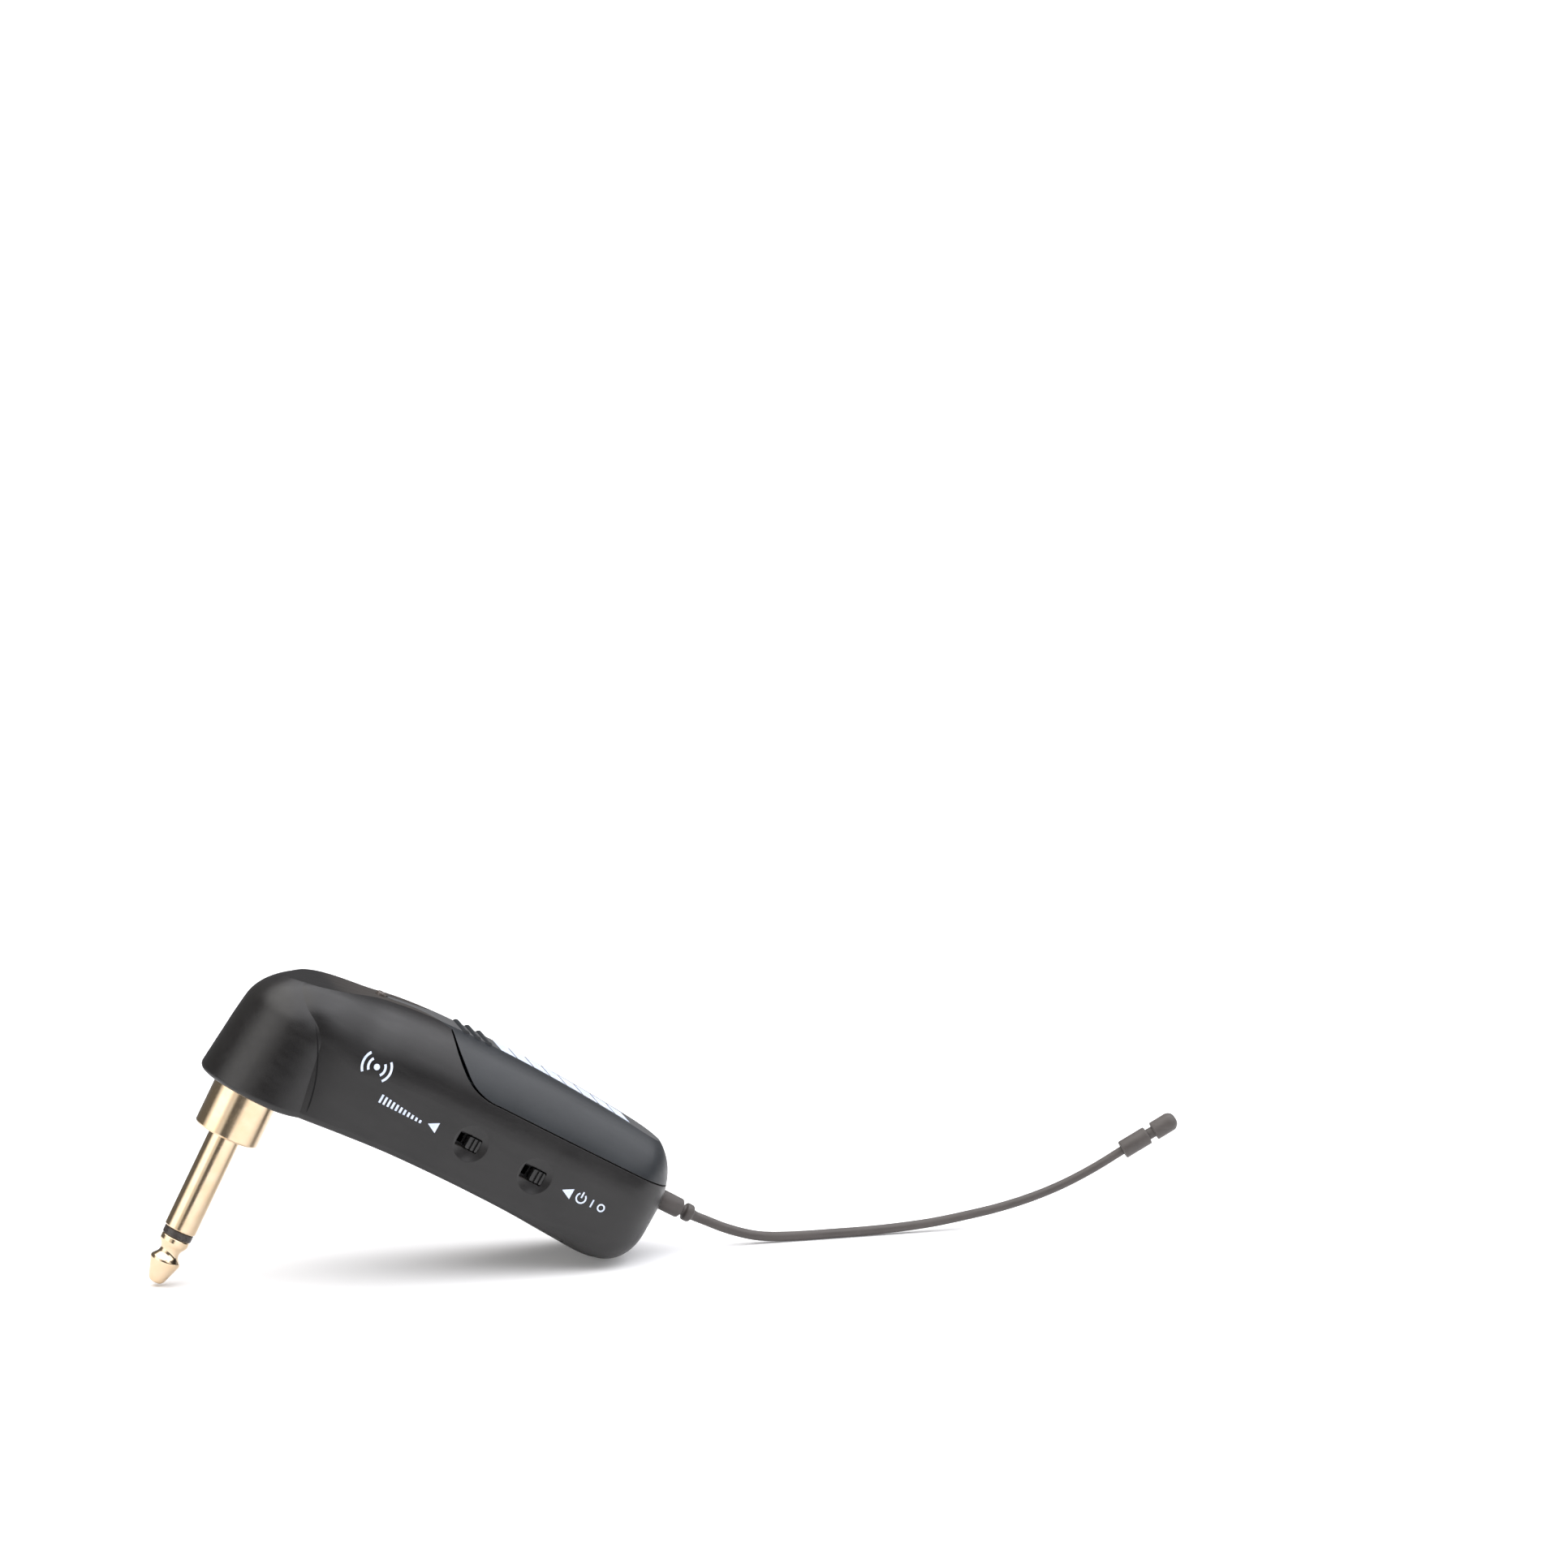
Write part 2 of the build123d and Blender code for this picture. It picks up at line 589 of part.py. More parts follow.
with BuildPart() as led_light_pipe:
    with BuildSketch(level(-1.15)):
        with Locations((LED_X, 0)):
            Circle(1.0)
    extrude(amount=17.75)
    fillet(led_light_pipe.edges().sort_by(BODY_UP_AXIS)[-1], 0.55)
save(led_light_pipe.part, "led_light_pipe")


# ---------------------------------------------------------------- slide switches
def switch_block(x, half, y0, y1, half_height):
    """box centred on x and on the switch height"""
    return block(x - half, x + half, y0, y1, SWITCH_Z - half_height, SWITCH_Z + half_height)


def switch_case(x):
    with BuildPart() as case:
        add(block(x - 4.3, x + 4.3, -11.55, -7.8, PART_BASE, 1.75))
        add(block(x - 3.9, x + 3.9, -11.25, -8.2, PART_BASE + 0.4, 1.35), mode=Mode.SUBTRACT)
        add(switch_block(x, 2.1, -12.5, -10.0, 0.95), mode=Mode.SUBTRACT)
    return case.part


def switch_knob(x):
    with BuildPart() as knob:
        add(switch_block(x, 1.3, -13.6, -11.95, 1.2))
        fillet(knob.edges().filter_by(lambda e: abs((e % 0.5).Y) > 0.99), 0.25)
        # two grooves in the outer face
        for groove in (-0.6, 0.35):
            add(block(x + groove, x + groove + 0.45, -14, -13.1, SWITCH_Z - 2, SWITCH_Z + 2),
                mode=Mode.SUBTRACT)
        # neck through the case, and the slider inside it
        add(switch_block(x, 0.8, -12.0, -10.9, 0.8))
        add(switch_block(x, 1.7, -11.2, -9.2, 1.3))
    return knob.part


for name, x in SWITCHES.items():
    save(switch_case(x), name + "_switch_case")
    save(switch_knob(x + KNOB_OFFSET), name + "_switch_knob")


# ---------------------------------------------------------------- screws
def screw(x, y, seat, length, head_r, up):
    """cross-head screw; its head seats at height seat and its shank points away from it"""
    way = 1 if up else -1
    head_h = 1.1
    with BuildPart() as one:
        with BuildSketch(level(seat, x, y)):
            Circle(head_r)
        extrude(amount=-way * head_h)
        outside = one.faces().sort_by(Axis((0, 0, 0), tuple(BODY_UP * (-way))))[-1]
        fillet(outside.edges(), head_h * 0.45)
        with BuildSketch(level(seat, x, y)):
            Circle(0.85)
        extrude(amount=way * length)
        with BuildSketch(level(seat - way * head_h, x, y)):
            Rectangle(head_r * 1.25, 0.42)
            Rectangle(0.42, head_r * 1.25)
        extrude(amount=way * head_h * 0.5, mode=Mode.SUBTRACT)
    return one.part


with BuildPart() as case_screws:
    for x, y in CASE_SCREWS:
        add(screw(x, y, CASE_SCREW_SEAT, length=4.5, head_r=1.9, up=True))
save(case_screws.part, "case_screws")

with BuildPart() as board_screws:
    for x, y in BOARD_SCREWS:
        add(screw(x, y, BOARD_TOP + 0.06, length=3.5, head_r=1.8, up=False))
save(board_screws.part, "board_screws")

# ---------------------------------------------------------------- plug
CORE_R = 1.3                  # bore of the inner insulator and of the ring
THREAD_R = 2.8                # upper part of the sleeve, inside the collar
NUT_BORE = 2.95
RING_TOP = -SLEEVE_LEN - 0.03
RING_BOTTOM = -SLEEVE_LEN - RING_LEN
TIP_TOP = RING_BOTTOM - 0.03

# closed profiles turned about the plug axis: (radius, height)
TURNED_PARTS = {
    "plug_collar": [
        (3.25, 0), (COLLAR_R - 0.35, 0), (COLLAR_R, 0.35), (COLLAR_R, 11.75), (7.3, 11.75),
        (7.3, 13.1), (2.87, 13.1), (2.87, 0.06), (3.25, 0.06)],
    "plug_sleeve": [
        (2.25, -SLEEVE_LEN), (3.0, -SLEEVE_LEN), (SLEEVE_R, -SLEEVE_LEN + 0.2), (SLEEVE_R, 0),
        (THREAD_R, 0), (THREAD_R, 16.4), (2.25, 16.4)],
    "plug_insulator_ring": [
        (CORE_R, RING_BOTTOM), (2.75, RING_BOTTOM), (2.95, RING_BOTTOM + 0.2),
        (2.95, RING_TOP - 0.2), (2.75, RING_TOP), (CORE_R, RING_TOP)],
    "plug_inner_insulator": [
        (CORE_R, -SLEEVE_LEN), (2.2, -SLEEVE_LEN), (2.2, 17.2), (CORE_R, 17.2)],
}
for name, profile in TURNED_PARTS.items():
    with BuildPart() as turned_part:
        add(turned(profile))
    save(turned_part.part, name)

# tip with its waist, and the stem that runs up through the insulator
with BuildPart() as plug_tip:
    with BuildSketch(plug_side(0)):
        with BuildLine():
            Polyline((0, 18.4), (1.25, 18.4), (1.25, TIP_TOP), (2.7, TIP_TOP),
                     (2.85, TIP_TOP - 0.2), (2.85, TIP_TOP - 1.0))
            Spline((2.85, TIP_TOP - 1.0), (2.25, TIP_TOP - 2.1), (1.98, TIP_TOP - 3.2),
                   (2.2, TIP_TOP - 3.75), (2.9, TIP_TOP - 4.6), tangents=((-0.2, -1), (1, -1.1)))
            Spline((2.9, TIP_TOP - 4.6), (3.02, TIP_TOP - 5.05), (2.85, TIP_TOP - 5.6),
                   tangents=((0.6, -1), (-0.42, -1)))
            Line((2.85, TIP_TOP - 5.6), (1.75, -PLUG_LEN + 0.95))
            Spline((1.75, -PLUG_LEN + 0.95), (1.15, -PLUG_LEN + 0.18), (0, -PLUG_LEN),
                   tangents=((-0.42, -1), (-1, 0)))
            Line((0, -PLUG_LEN), (0, 18.4))
        make_face()
    revolve(axis=PLUG_AXIS)
save(plug_tip.part, "plug_tip")

with BuildPart() as plug_lock_nut:
    with BuildSketch(plug_level(13.15)):
        RegularPolygon(5.4, 6)
        Circle(NUT_BORE, mode=Mode.SUBTRACT)
    extrude(amount=2.2)
save(plug_lock_nut.part, "plug_lock_nut")

# (height, disc radius, tab centre, tab width, hole radius)
LUGS = [(15.4, 4.7, 6.5, 2.4, NUT_BORE), (17.25, 2.6, 4.6, 2.0, CORE_R)]

with BuildPart() as plug_lugs:
    for height, disc_r, tab_x, tab_width, hole_r in LUGS:
        with BuildSketch(plug_level(height)):
            Circle(disc_r)
            with Locations((tab_x, 0)):
                RectangleRounded(6.0, tab_width, 0.8)
            Circle(hole_r, mode=Mode.SUBTRACT)
        extrude(amount=0.3)
save(plug_lugs.part, "plug_lugs")

# ---------------------------------------------------------------- wires
WIRE_R = 0.45
# name: (function that places a point, one list of (x, y, z) points for each wire)
WIRES = {
    "plug_wires": (plug_at, [
        [(7.0, 0, 18.1), (8.6, 1.2, 20.2), (11.6, 2.8, 21.6), (14.2, 3.4, 20.0)],
        [(9.0, 0, 16.25), (10.4, -1.6, 18.6), (12.4, -3.2, 20.9), (14.2, -3.6, 20.0)]]),
    "battery_leads": (body_at, [
        [(-15.6, 4.0, 8.6), (-16.8, 6.0, 5.0), (-16.8, 8.2, 1.2), (-16.2, 8.6, -1.5)],
        [(38.25, 3.2, 8.4), (38.9, 4.2, 4.2), (37.3, 5.2, 0.4), (34.6, 5.6, -1.5)]]),
    "antenna_lead": (body_at, [
        [(38.65, 0, 4.6), (38.7, -0.8, 1.8), (36.8, -1.6, -0.4), (34.2, -1.9, -1.5)]]),
}


def bent_wire(points):
    with BuildPart() as strand:
        with BuildLine() as path:
            Spline(*points)
        with BuildSketch(Plane(origin=path.line @ 0, z_dir=path.line % 0)):
            Circle(WIRE_R)
        sweep()
    return strand.part


for name, (place, routes) in WIRES.items():
    with BuildPart() as strands:
        for route in routes:
            add(bent_wire([place(*point) for point in route]))
    save(strands.part, name)

# ---------------------------------------------------------------- antenna core and boot
ANTENNA_AXIS = Axis(body_at(0, 0, ANTENNA_Z), tuple(BODY_BACK))

save(rod(39.25, 48.3, 0.5, ANTENNA_Z), "antenna_core")

with BuildPart() as antenna_boot:
    with BuildSketch(side(0, 0, ANTENNA_Z)):
        with BuildLine():
            Polyline((39.4, 0.54), (39.4, 1.95), (40.42, 1.95), (40.42, 1.45), (42.75, 1.45),
                     (42.75, 1.95), (48.25, 1.95), (48.45, 1.75), (48.45, 1.05), (48.8, 1.05),
                     (48.8, 0), (48.35, 0), (48.35, 0.54), close=True)
        make_face()
    revolve(axis=ANTENNA_AXIS)
save(antenna_boot.part, "antenna_boot")

# ---------------------------------------------------------------- antenna whip
CAP = Vector(178.2, 0, -15.85)   # near end of the cap, world frame
CAP_DIR = Vector(0.881, 0, 0.474).normalized()
# middle line of the whip, world frame: (x, z)
WHIP = [
    (95.4, -24.2), (98.6, -25.7), (101.8, -26.9), (105, -27.8), (108.2, -28.25),
    (114.7, -28.5), (121.1, -28.5), (127.6, -28.45), (134, -28.2), (140.4, -27.7),
    (146.9, -26.8), (153.3, -25.7), (159.8, -24.1), (166.2, -21.9), (172.6, -18.95)]

with BuildPart() as antenna_whip:
    start = body_at(51.05, 0, ANTENNA_Z)
    end = CAP + CAP_DIR * 3.2
    with BuildLine() as path:
        Spline(start, *[Vector(x, 0, z) for x, z in WHIP], CAP, end,
               tangents=(BODY_BACK, CAP_DIR))
    with BuildSketch(Plane(origin=start, z_dir=path.line % 0)):
        Circle(0.9)
    sweep()
    # turned collar at the boot end
    with BuildSketch(side(0, 0, ANTENNA_Z)):
        with BuildLine():
            Polyline((48.98, 0), (49.05, 0.55), (49.28, 0.95), (49.35, 0.95), (49.35, 1.55),
                     (49.55, 1.75), (50.9, 1.75), (51.1, 1.5), (51.1, 0), close=True)
        make_face()
    revolve(axis=ANTENNA_AXIS)
save(antenna_whip.part, "antenna_whip")

# ---------------------------------------------------------------- antenna cap
CAP_AXIS = Axis(tuple(CAP), tuple(CAP_DIR))


def cap_plane(distance):
    return Plane(origin=CAP + CAP_DIR * distance, x_dir=ACROSS, z_dir=CAP_DIR)


with BuildPart() as antenna_cap_base:
    with BuildSketch(cap_plane(0)):
        Circle(1.8)
    extrude(amount=5.7)
    fillet(antenna_cap_base.edges().filter_by(GeomType.CIRCLE), 0.3)
    with BuildSketch(cap_plane(-1)):
        Circle(0.94)
    extrude(amount=8, mode=Mode.SUBTRACT)
save(antenna_cap_base.part, "antenna_cap_base")

with BuildPart() as antenna_cap_end:
    with BuildSketch(cap_plane(7.06)):
        Circle(1.85)
    extrude(amount=4.9)
    for which, radius in ((-1, 1.5), (0, 0.25)):
        rims = antenna_cap_end.edges().filter_by(GeomType.CIRCLE).sort_by(CAP_AXIS)
        fillet(rims[which], radius)
    # stepped stem that enters the base: (distance, radius, length)
    for distance, radius, length in ((5.73, 1.1, 1.5), (3.6, 0.9, 2.3)):
        with BuildSketch(cap_plane(distance)):
            Circle(radius)
        extrude(amount=length)
save(antenna_cap_end.part, "antenna_cap_end")
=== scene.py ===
"""A clip-on radio transmitter: a tilted case with a plug, two slide switches and a whip aerial.

The shared frame is in metres with +Z up. The case runs mostly along +X towards the aerial and
slopes in the XZ plane. The printed side faces -Y, where the camera stands.
"""
import json
import math

import bpy
import bmesh
from mathutils import Matrix, Vector
from mathutils.bvhtree import BVHTree


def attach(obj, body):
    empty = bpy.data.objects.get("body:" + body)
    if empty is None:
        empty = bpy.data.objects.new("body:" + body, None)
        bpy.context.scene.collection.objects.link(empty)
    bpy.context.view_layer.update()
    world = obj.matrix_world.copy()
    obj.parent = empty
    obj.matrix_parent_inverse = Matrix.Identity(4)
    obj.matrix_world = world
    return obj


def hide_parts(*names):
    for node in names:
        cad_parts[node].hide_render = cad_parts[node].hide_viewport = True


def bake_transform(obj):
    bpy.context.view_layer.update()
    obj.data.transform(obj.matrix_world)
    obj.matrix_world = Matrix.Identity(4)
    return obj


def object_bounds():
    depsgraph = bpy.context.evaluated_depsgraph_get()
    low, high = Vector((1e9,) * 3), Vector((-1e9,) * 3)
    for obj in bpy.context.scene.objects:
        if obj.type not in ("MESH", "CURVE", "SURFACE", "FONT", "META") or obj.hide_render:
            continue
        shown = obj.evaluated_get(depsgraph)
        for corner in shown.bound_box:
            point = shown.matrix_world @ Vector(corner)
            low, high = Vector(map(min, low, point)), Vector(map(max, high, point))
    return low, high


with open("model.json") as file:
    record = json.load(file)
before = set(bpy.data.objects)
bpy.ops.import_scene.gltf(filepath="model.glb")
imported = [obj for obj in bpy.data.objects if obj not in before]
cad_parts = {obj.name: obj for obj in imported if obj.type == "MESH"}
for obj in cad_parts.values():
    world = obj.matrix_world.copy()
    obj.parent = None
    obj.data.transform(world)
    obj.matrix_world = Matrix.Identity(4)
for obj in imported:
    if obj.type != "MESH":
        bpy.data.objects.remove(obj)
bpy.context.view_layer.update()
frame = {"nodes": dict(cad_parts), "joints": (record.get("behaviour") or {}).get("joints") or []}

MM = 0.001
NODES = frame["nodes"]

# ------------------------------------------------------------------ directions of the design
# Body frame, in mm: BX along the case towards the aerial, BY across it, BZ up through its flat.
joints = {joint["name"]: joint for joint in frame["joints"]}
BX = Vector(joints["pad_switch_slide"]["axis"]).normalized()
BY = Vector((0, 1, 0))
BZ = BX.cross(BY).normalized()
if BZ.z < 0:
    BZ = -BZ

# the aerial's pivot, seen from the origin of the body frame
PIVOT_ALONG = 48.9
AERIAL_HEIGHT = 5.0
flex = joints["aerial_flex"]
pivot = Vector(flex["pos_m"] if "pos_m" in flex else flex["pos"])
BODY_ORIGIN = pivot - BX * (PIVOT_ALONG * MM) - BZ * (AERIAL_HEIGHT * MM)

# Plug frame, about the shared origin: PZ is the plug's axis, PX lies square to it.
PLUG_TILT = math.radians(26.2)
PX = Vector((math.cos(PLUG_TILT), 0, -math.sin(PLUG_TILT)))
PZ = Vector((math.sin(PLUG_TILT), 0, math.cos(PLUG_TILT)))


def at(x, y, z):
    """body frame, millimetres, to the shared frame, metres"""
    return BODY_ORIGIN + (BX * x + BY * y + BZ * z) * MM


# ------------------------------------------------------------------ node vocabulary
class Graph:
    """a shader tree with a small vocabulary for building it"""

    def __init__(self, tree):
        self.tree = tree
        tree.nodes.clear()

    def put(self, socket, value):
        """link a socket, or give it a value"""
        if isinstance(value, bpy.types.NodeSocket):
            self.tree.links.new(value, socket)
        elif isinstance(value, (tuple, list)) and len(value) == 3 and socket.type == "RGBA":
            socket.default_value = (*value, 1.0)
        else:
            socket.default_value = value

    def node(self, kind, inputs=(), **props):
        made = self.tree.nodes.new("ShaderNode" + kind)
        for key, value in props.items():
            setattr(made, key, value)
        for key, value in dict(inputs).items():
            self.put(made.inputs[key], value)
        return made

    def math(self, operation, first, second=0.0, clamp=False):
        inputs = {0: first, 1: second, 2: 0.0}
        return self.node("Math", inputs, operation=operation, use_clamp=clamp).outputs[0]

    def add(self, first, second):
        return self.math("ADD", first, second)

    def times(self, first, second):
        return self.math("MULTIPLY", first, second)

    def dot(self, vector, direction, offset=0.0):
        product = self.node("VectorMath", {0: vector, 1: direction}, operation="DOT_PRODUCT")
        return self.add(product.outputs["Value"], offset)

    def ramp(self, value, span=(0.3, 0.7), to=(0.0, 1.0), smooth=True):
        """carry the span of a value over to another range, clamped at both ends"""
        inputs = {"Value": value, "From Min": span[0], "From Max": span[1],
                  "To Min": to[0], "To Max": to[1]}
        kind = "SMOOTHSTEP" if smooth else "LINEAR"
        return self.node("MapRange", inputs, interpolation_type=kind, clamp=True).outputs["Result"]

    def window(self, value, rise, fall, smooth=True):
        """1 between the rise and the fall, 0 outside"""
        rising = self.ramp(value, rise, smooth=smooth)
        return self.times(rising, self.ramp(value, fall, to=(1.0, 0.0), smooth=smooth))

    def mix(self, factor, first, second):
        """colour mix; 6 and 7 are the colour inputs of the node, 2 its colour output"""
        inputs = {"Factor": factor, 6: first, 7: second}
        return self.node("Mix", inputs, data_type="RGBA", blend_type="MIX").outputs[2]


class Material(Graph):
    """a material with a principled shader and textures in millimetres of object space"""

    def __init__(self, name):
        self.material = bpy.data.materials.new(name)
        self.material.use_nodes = True
        super().__init__(self.material.node_tree)
        self.output = self.node("OutputMaterial")
        self.shader = self.node("BsdfPrincipled")
        self.put(self.output.inputs["Surface"], self.shader.outputs["BSDF"])
        place = self.node("TexCoord").outputs["Object"]
        self.mm = self.node("VectorMath", {0: place, "Scale": 1000.0}, operation="SCALE").outputs[0]

    def noise(self, scale, detail=3.0, rough=0.5, vector=None, distortion=0.0):
        inputs = {"Vector": self.mm if vector is None else vector, "Scale": scale,
                  "Detail": detail, "Roughness": rough, "Distortion": distortion}
        return self.node("TexNoise", inputs).outputs["Fac"]

    def streaks(self, axis, along, across, **options):
        """noise with one scale along an axis and another square to it"""
        extra = self.times(self.dot(self.mm, axis), along - across)
        drawn = self.node("VectorMath", {0: axis, "Scale": extra}, operation="SCALE")
        even = self.node("VectorMath", {0: self.mm, "Scale": across}, operation="SCALE")
        both = self.node("VectorMath", {0: drawn.outputs[0], 1: even.outputs[0]}, operation="ADD")
        return self.noise(scale=1.0, vector=both.outputs[0], **options)

    def voronoi(self, scale, vector=None):
        inputs = {"Vector": self.mm if vector is None else vector, "Scale": scale}
        return self.node("TexVoronoi", inputs).outputs["Distance"]

    def bump(self, height, distance, strength, normal=None):
        """distance in metres; normal is the one to build on"""
        inputs = {"Height": height, "Distance": distance, "Strength": strength}
        if normal is not None:
            inputs["Normal"] = normal
        return self.node("Bump", inputs).outputs["Normal"]

    def edge(self, radius):
        """a mask that grows on sharp edges, and the rounded normal"""
        rounded = self.node("Bevel", {"Radius": radius}, samples=4).outputs[0]
        flat = self.node("NewGeometry").outputs["Normal"]
        cosine = self.node("VectorMath", {0: rounded, 1: flat}, operation="DOT_PRODUCT")
        return self.math("SUBTRACT", 1.0, cosine.outputs["Value"], clamp=True), rounded

    def finish(self, **values):
        """set the principled inputs, underscores standing for spaces"""
        for key, value in values.items():
            self.put(self.shader.inputs[key.replace("_", " ")], value)
        return self.material


# ------------------------------------------------------------------ material families
def moulded(name, base, light, rough, facet_painted_light=None, grain=1.0):
    """satin moulded plastic: fine grain, mottling, handling marks, paler worn edges;
    the facet colour is a painted reflection: a paler colour on faces that look along BZ"""
    mat = Material(name)
    fine = mat.noise(scale=5.5, detail=4.0, rough=0.6)
    dimple = mat.voronoi(scale=4.2)
    cloud = mat.noise(scale=0.09, rough=0.55)
    smear = mat.streaks(BX, along=0.10, across=0.55, detail=4.0, rough=0.6, distortion=0.6)
    hair = mat.streaks(BX, along=0.12, across=7.0, detail=2.0)
    slanted = mat.streaks((BX + BZ * 0.5).normalized(), along=0.16, across=6.0, detail=2.0)
    scratch = mat.math("MAXIMUM", mat.ramp(hair, span=(0.735, 0.80)),
                       mat.ramp(slanted, span=(0.75, 0.82)))
    scratch = mat.times(scratch, mat.ramp(cloud, span=(0.50, 0.66)))
    colour = mat.mix(mat.ramp(cloud), base, light)
    speck = mat.ramp(fine, span=(0.62, 0.8), to=(0.0, 0.35))
    colour = mat.mix(speck, colour, tuple(c * 1.7 for c in light))
    smeared = mat.ramp(smear, span=(0.3, 0.75), to=(rough - 0.045, rough + 0.06))
    roughness = mat.add(smeared, mat.times(scratch, -0.05))
    roughness = mat.add(roughness, mat.ramp(fine, span=(0.35, 0.7), to=(-0.02, 0.03)))
    # worn edges: paler and smoother, in patches
    mask, rounded = mat.edge(radius=0.00016)
    patchy = mat.ramp(mat.noise(scale=0.7, detail=4.0, rough=0.65),
                      span=(0.42, 0.62), to=(0.15, 1.0))
    worn = mat.times(mat.ramp(mask, span=(0.03, 0.30)), patchy)
    colour = mat.mix(mat.times(worn, 0.30), colour, tuple(c * 2.6 + 0.012 for c in light))
    roughness = mat.add(roughness, mat.times(worn, -0.07))
    # painted reflection: faces that look along BZ get a paler colour for the light the top reflects
    if facet_painted_light is not None:
        upward = mat.dot(mat.node("NewGeometry").outputs["Normal"], BZ)
        on_facet = mat.ramp(upward, span=(0.965, 0.985))
        colour = mat.mix(on_facet, colour, facet_painted_light)
        roughness = mat.add(roughness, mat.times(on_facet, 0.16))
    height = mat.add(mat.times(fine, 0.55), mat.times(dimple, 0.45))
    height = mat.math("SUBTRACT", height, mat.times(scratch, 0.8))
    normal = mat.bump(height, distance=0.000012 * grain, strength=0.75, normal=rounded)
    normal = mat.bump(mat.noise(scale=0.16, detail=2.0), distance=0.00004, strength=0.25,
                      normal=normal)
    return mat.finish(Base_Color=colour, Roughness=roughness, Normal=normal, IOR=1.49)


def metal(name, base, warm, rough, lathe=None, tarnish=0.10, rings=26.0):
    """metal with a slight colour drift and stains, and turning rings about the lathe axis"""
    mat = Material(name)
    cloud = mat.noise(scale=0.35)
    fine = mat.noise(scale=3.0, rough=0.6)
    colour = mat.mix(mat.ramp(cloud, span=(0.3, 0.72)), base, warm)
    stain = mat.ramp(mat.noise(scale=0.9, detail=5.0, rough=0.65),
                     span=(0.62, 0.82), to=(0.0, tarnish))
    colour = mat.mix(stain, colour, tuple(c * 0.35 for c in warm))
    roughness = mat.add(mat.ramp(cloud, span=(0.25, 0.75), to=(rough - 0.03, rough + 0.05)),
                        mat.ramp(fine, span=(0.4, 0.7), to=(-0.015, 0.035)))
    if lathe is not None:
        ringed = mat.streaks(lathe, along=rings, across=0.05, rough=0.55)
        roughness = mat.add(roughness, mat.ramp(ringed, span=(0.35, 0.7), to=(-0.02, 0.05)))
        normal = mat.bump(ringed, distance=0.0000022, strength=0.8)
        normal = mat.bump(fine, distance=0.0000010, strength=0.5, normal=normal)
    else:
        normal = mat.bump(fine, distance=0.0000030, strength=0.6)
    mask, _ = mat.edge(radius=0.00010)
    bright = mat.times(mat.ramp(mask, span=(0.04, 0.3)), 0.35)
    colour = mat.mix(bright, colour, tuple(min(1.0, c * 1.15) for c in base))
    return mat.finish(Base_Color=colour, Roughness=roughness, Metallic=1.0, Normal=normal)


def simple(name, base, other, rough, scale=1.2, bump=0.000008, fine_scale=6.0, spec=0.5):
    """two mottled colours over a fine bump"""
    mat = Material(name)
    cloud = mat.noise(scale=scale, detail=4.0, rough=0.6)
    fine = mat.noise(scale=fine_scale, rough=0.6)
    full_amount = 1.0  # how far the mottling goes to the other colour
    colour = mat.mix(mat.times(mat.ramp(cloud, span=(0.35, 0.68)), full_amount), base, other)
    roughness = mat.add(mat.ramp(cloud, to=(rough - 0.05, rough + 0.06)),
                        mat.ramp(fine, to=(-0.03, 0.03)))
    return mat.finish(Base_Color=colour, Roughness=roughness, Specular_IOR_Level=spec,
                      Normal=mat.bump(fine, distance=bump, strength=0.8))


# ------------------------------------------------------------------ single materials
def indicator_lens():
    """smoky, partly clear lens"""
    mat = Material("indicator_lens")
    cloud = mat.noise(scale=2.0)
    return mat.finish(
        Base_Color=mat.mix(mat.ramp(cloud), (0.105, 0.085, 0.075), (0.15, 0.125, 0.11)),
        Roughness=mat.ramp(mat.noise(scale=5.0, rough=0.6), to=(0.16, 0.28)),
        IOR=1.49,
        Normal=mat.bump(mat.noise(scale=3.0, detail=2.0), distance=0.000004, strength=0.5),
        Transmission_Weight=0.35)


def board_material():
    """green solder mask over a brick pattern of tracks, with coppery vias"""
    mat = Material("solder_mask_green")
    plan = mat.node("CombineXYZ", {0: mat.dot(mat.mm, BX), 1: mat.dot(mat.mm, BY)}).outputs[0]
    tracks = mat.node("TexBrick", {"Vector": plan, "Scale": 0.42, "Mortar Size": 0.035,
                                   "Brick Width": 1.9, "Row Height": 0.42}).outputs["Fac"]
    vias = mat.ramp(mat.voronoi(scale=0.32, vector=plan), span=(0.09, 0.13), to=(1.0, 0.0))
    cloud = mat.noise(scale=0.4)
    colour = mat.mix(mat.ramp(cloud), (0.006, 0.075, 0.030), (0.010, 0.105, 0.042))
    colour = mat.mix(mat.times(tracks, 0.8), colour, (0.020, 0.20, 0.075))
    colour = mat.mix(vias, colour, (0.50, 0.34, 0.12))
    normal = mat.bump(mat.add(tracks, vias), distance=0.00002, strength=0.7)
    normal = mat.bump(mat.noise(scale=6.0, rough=0.6), distance=0.000006, strength=0.6,
                      normal=normal)
    return mat.finish(Base_Color=colour, Roughness=mat.ramp(cloud, to=(0.26, 0.36)),
                      Metallic=mat.times(vias, 0.9), Normal=normal)


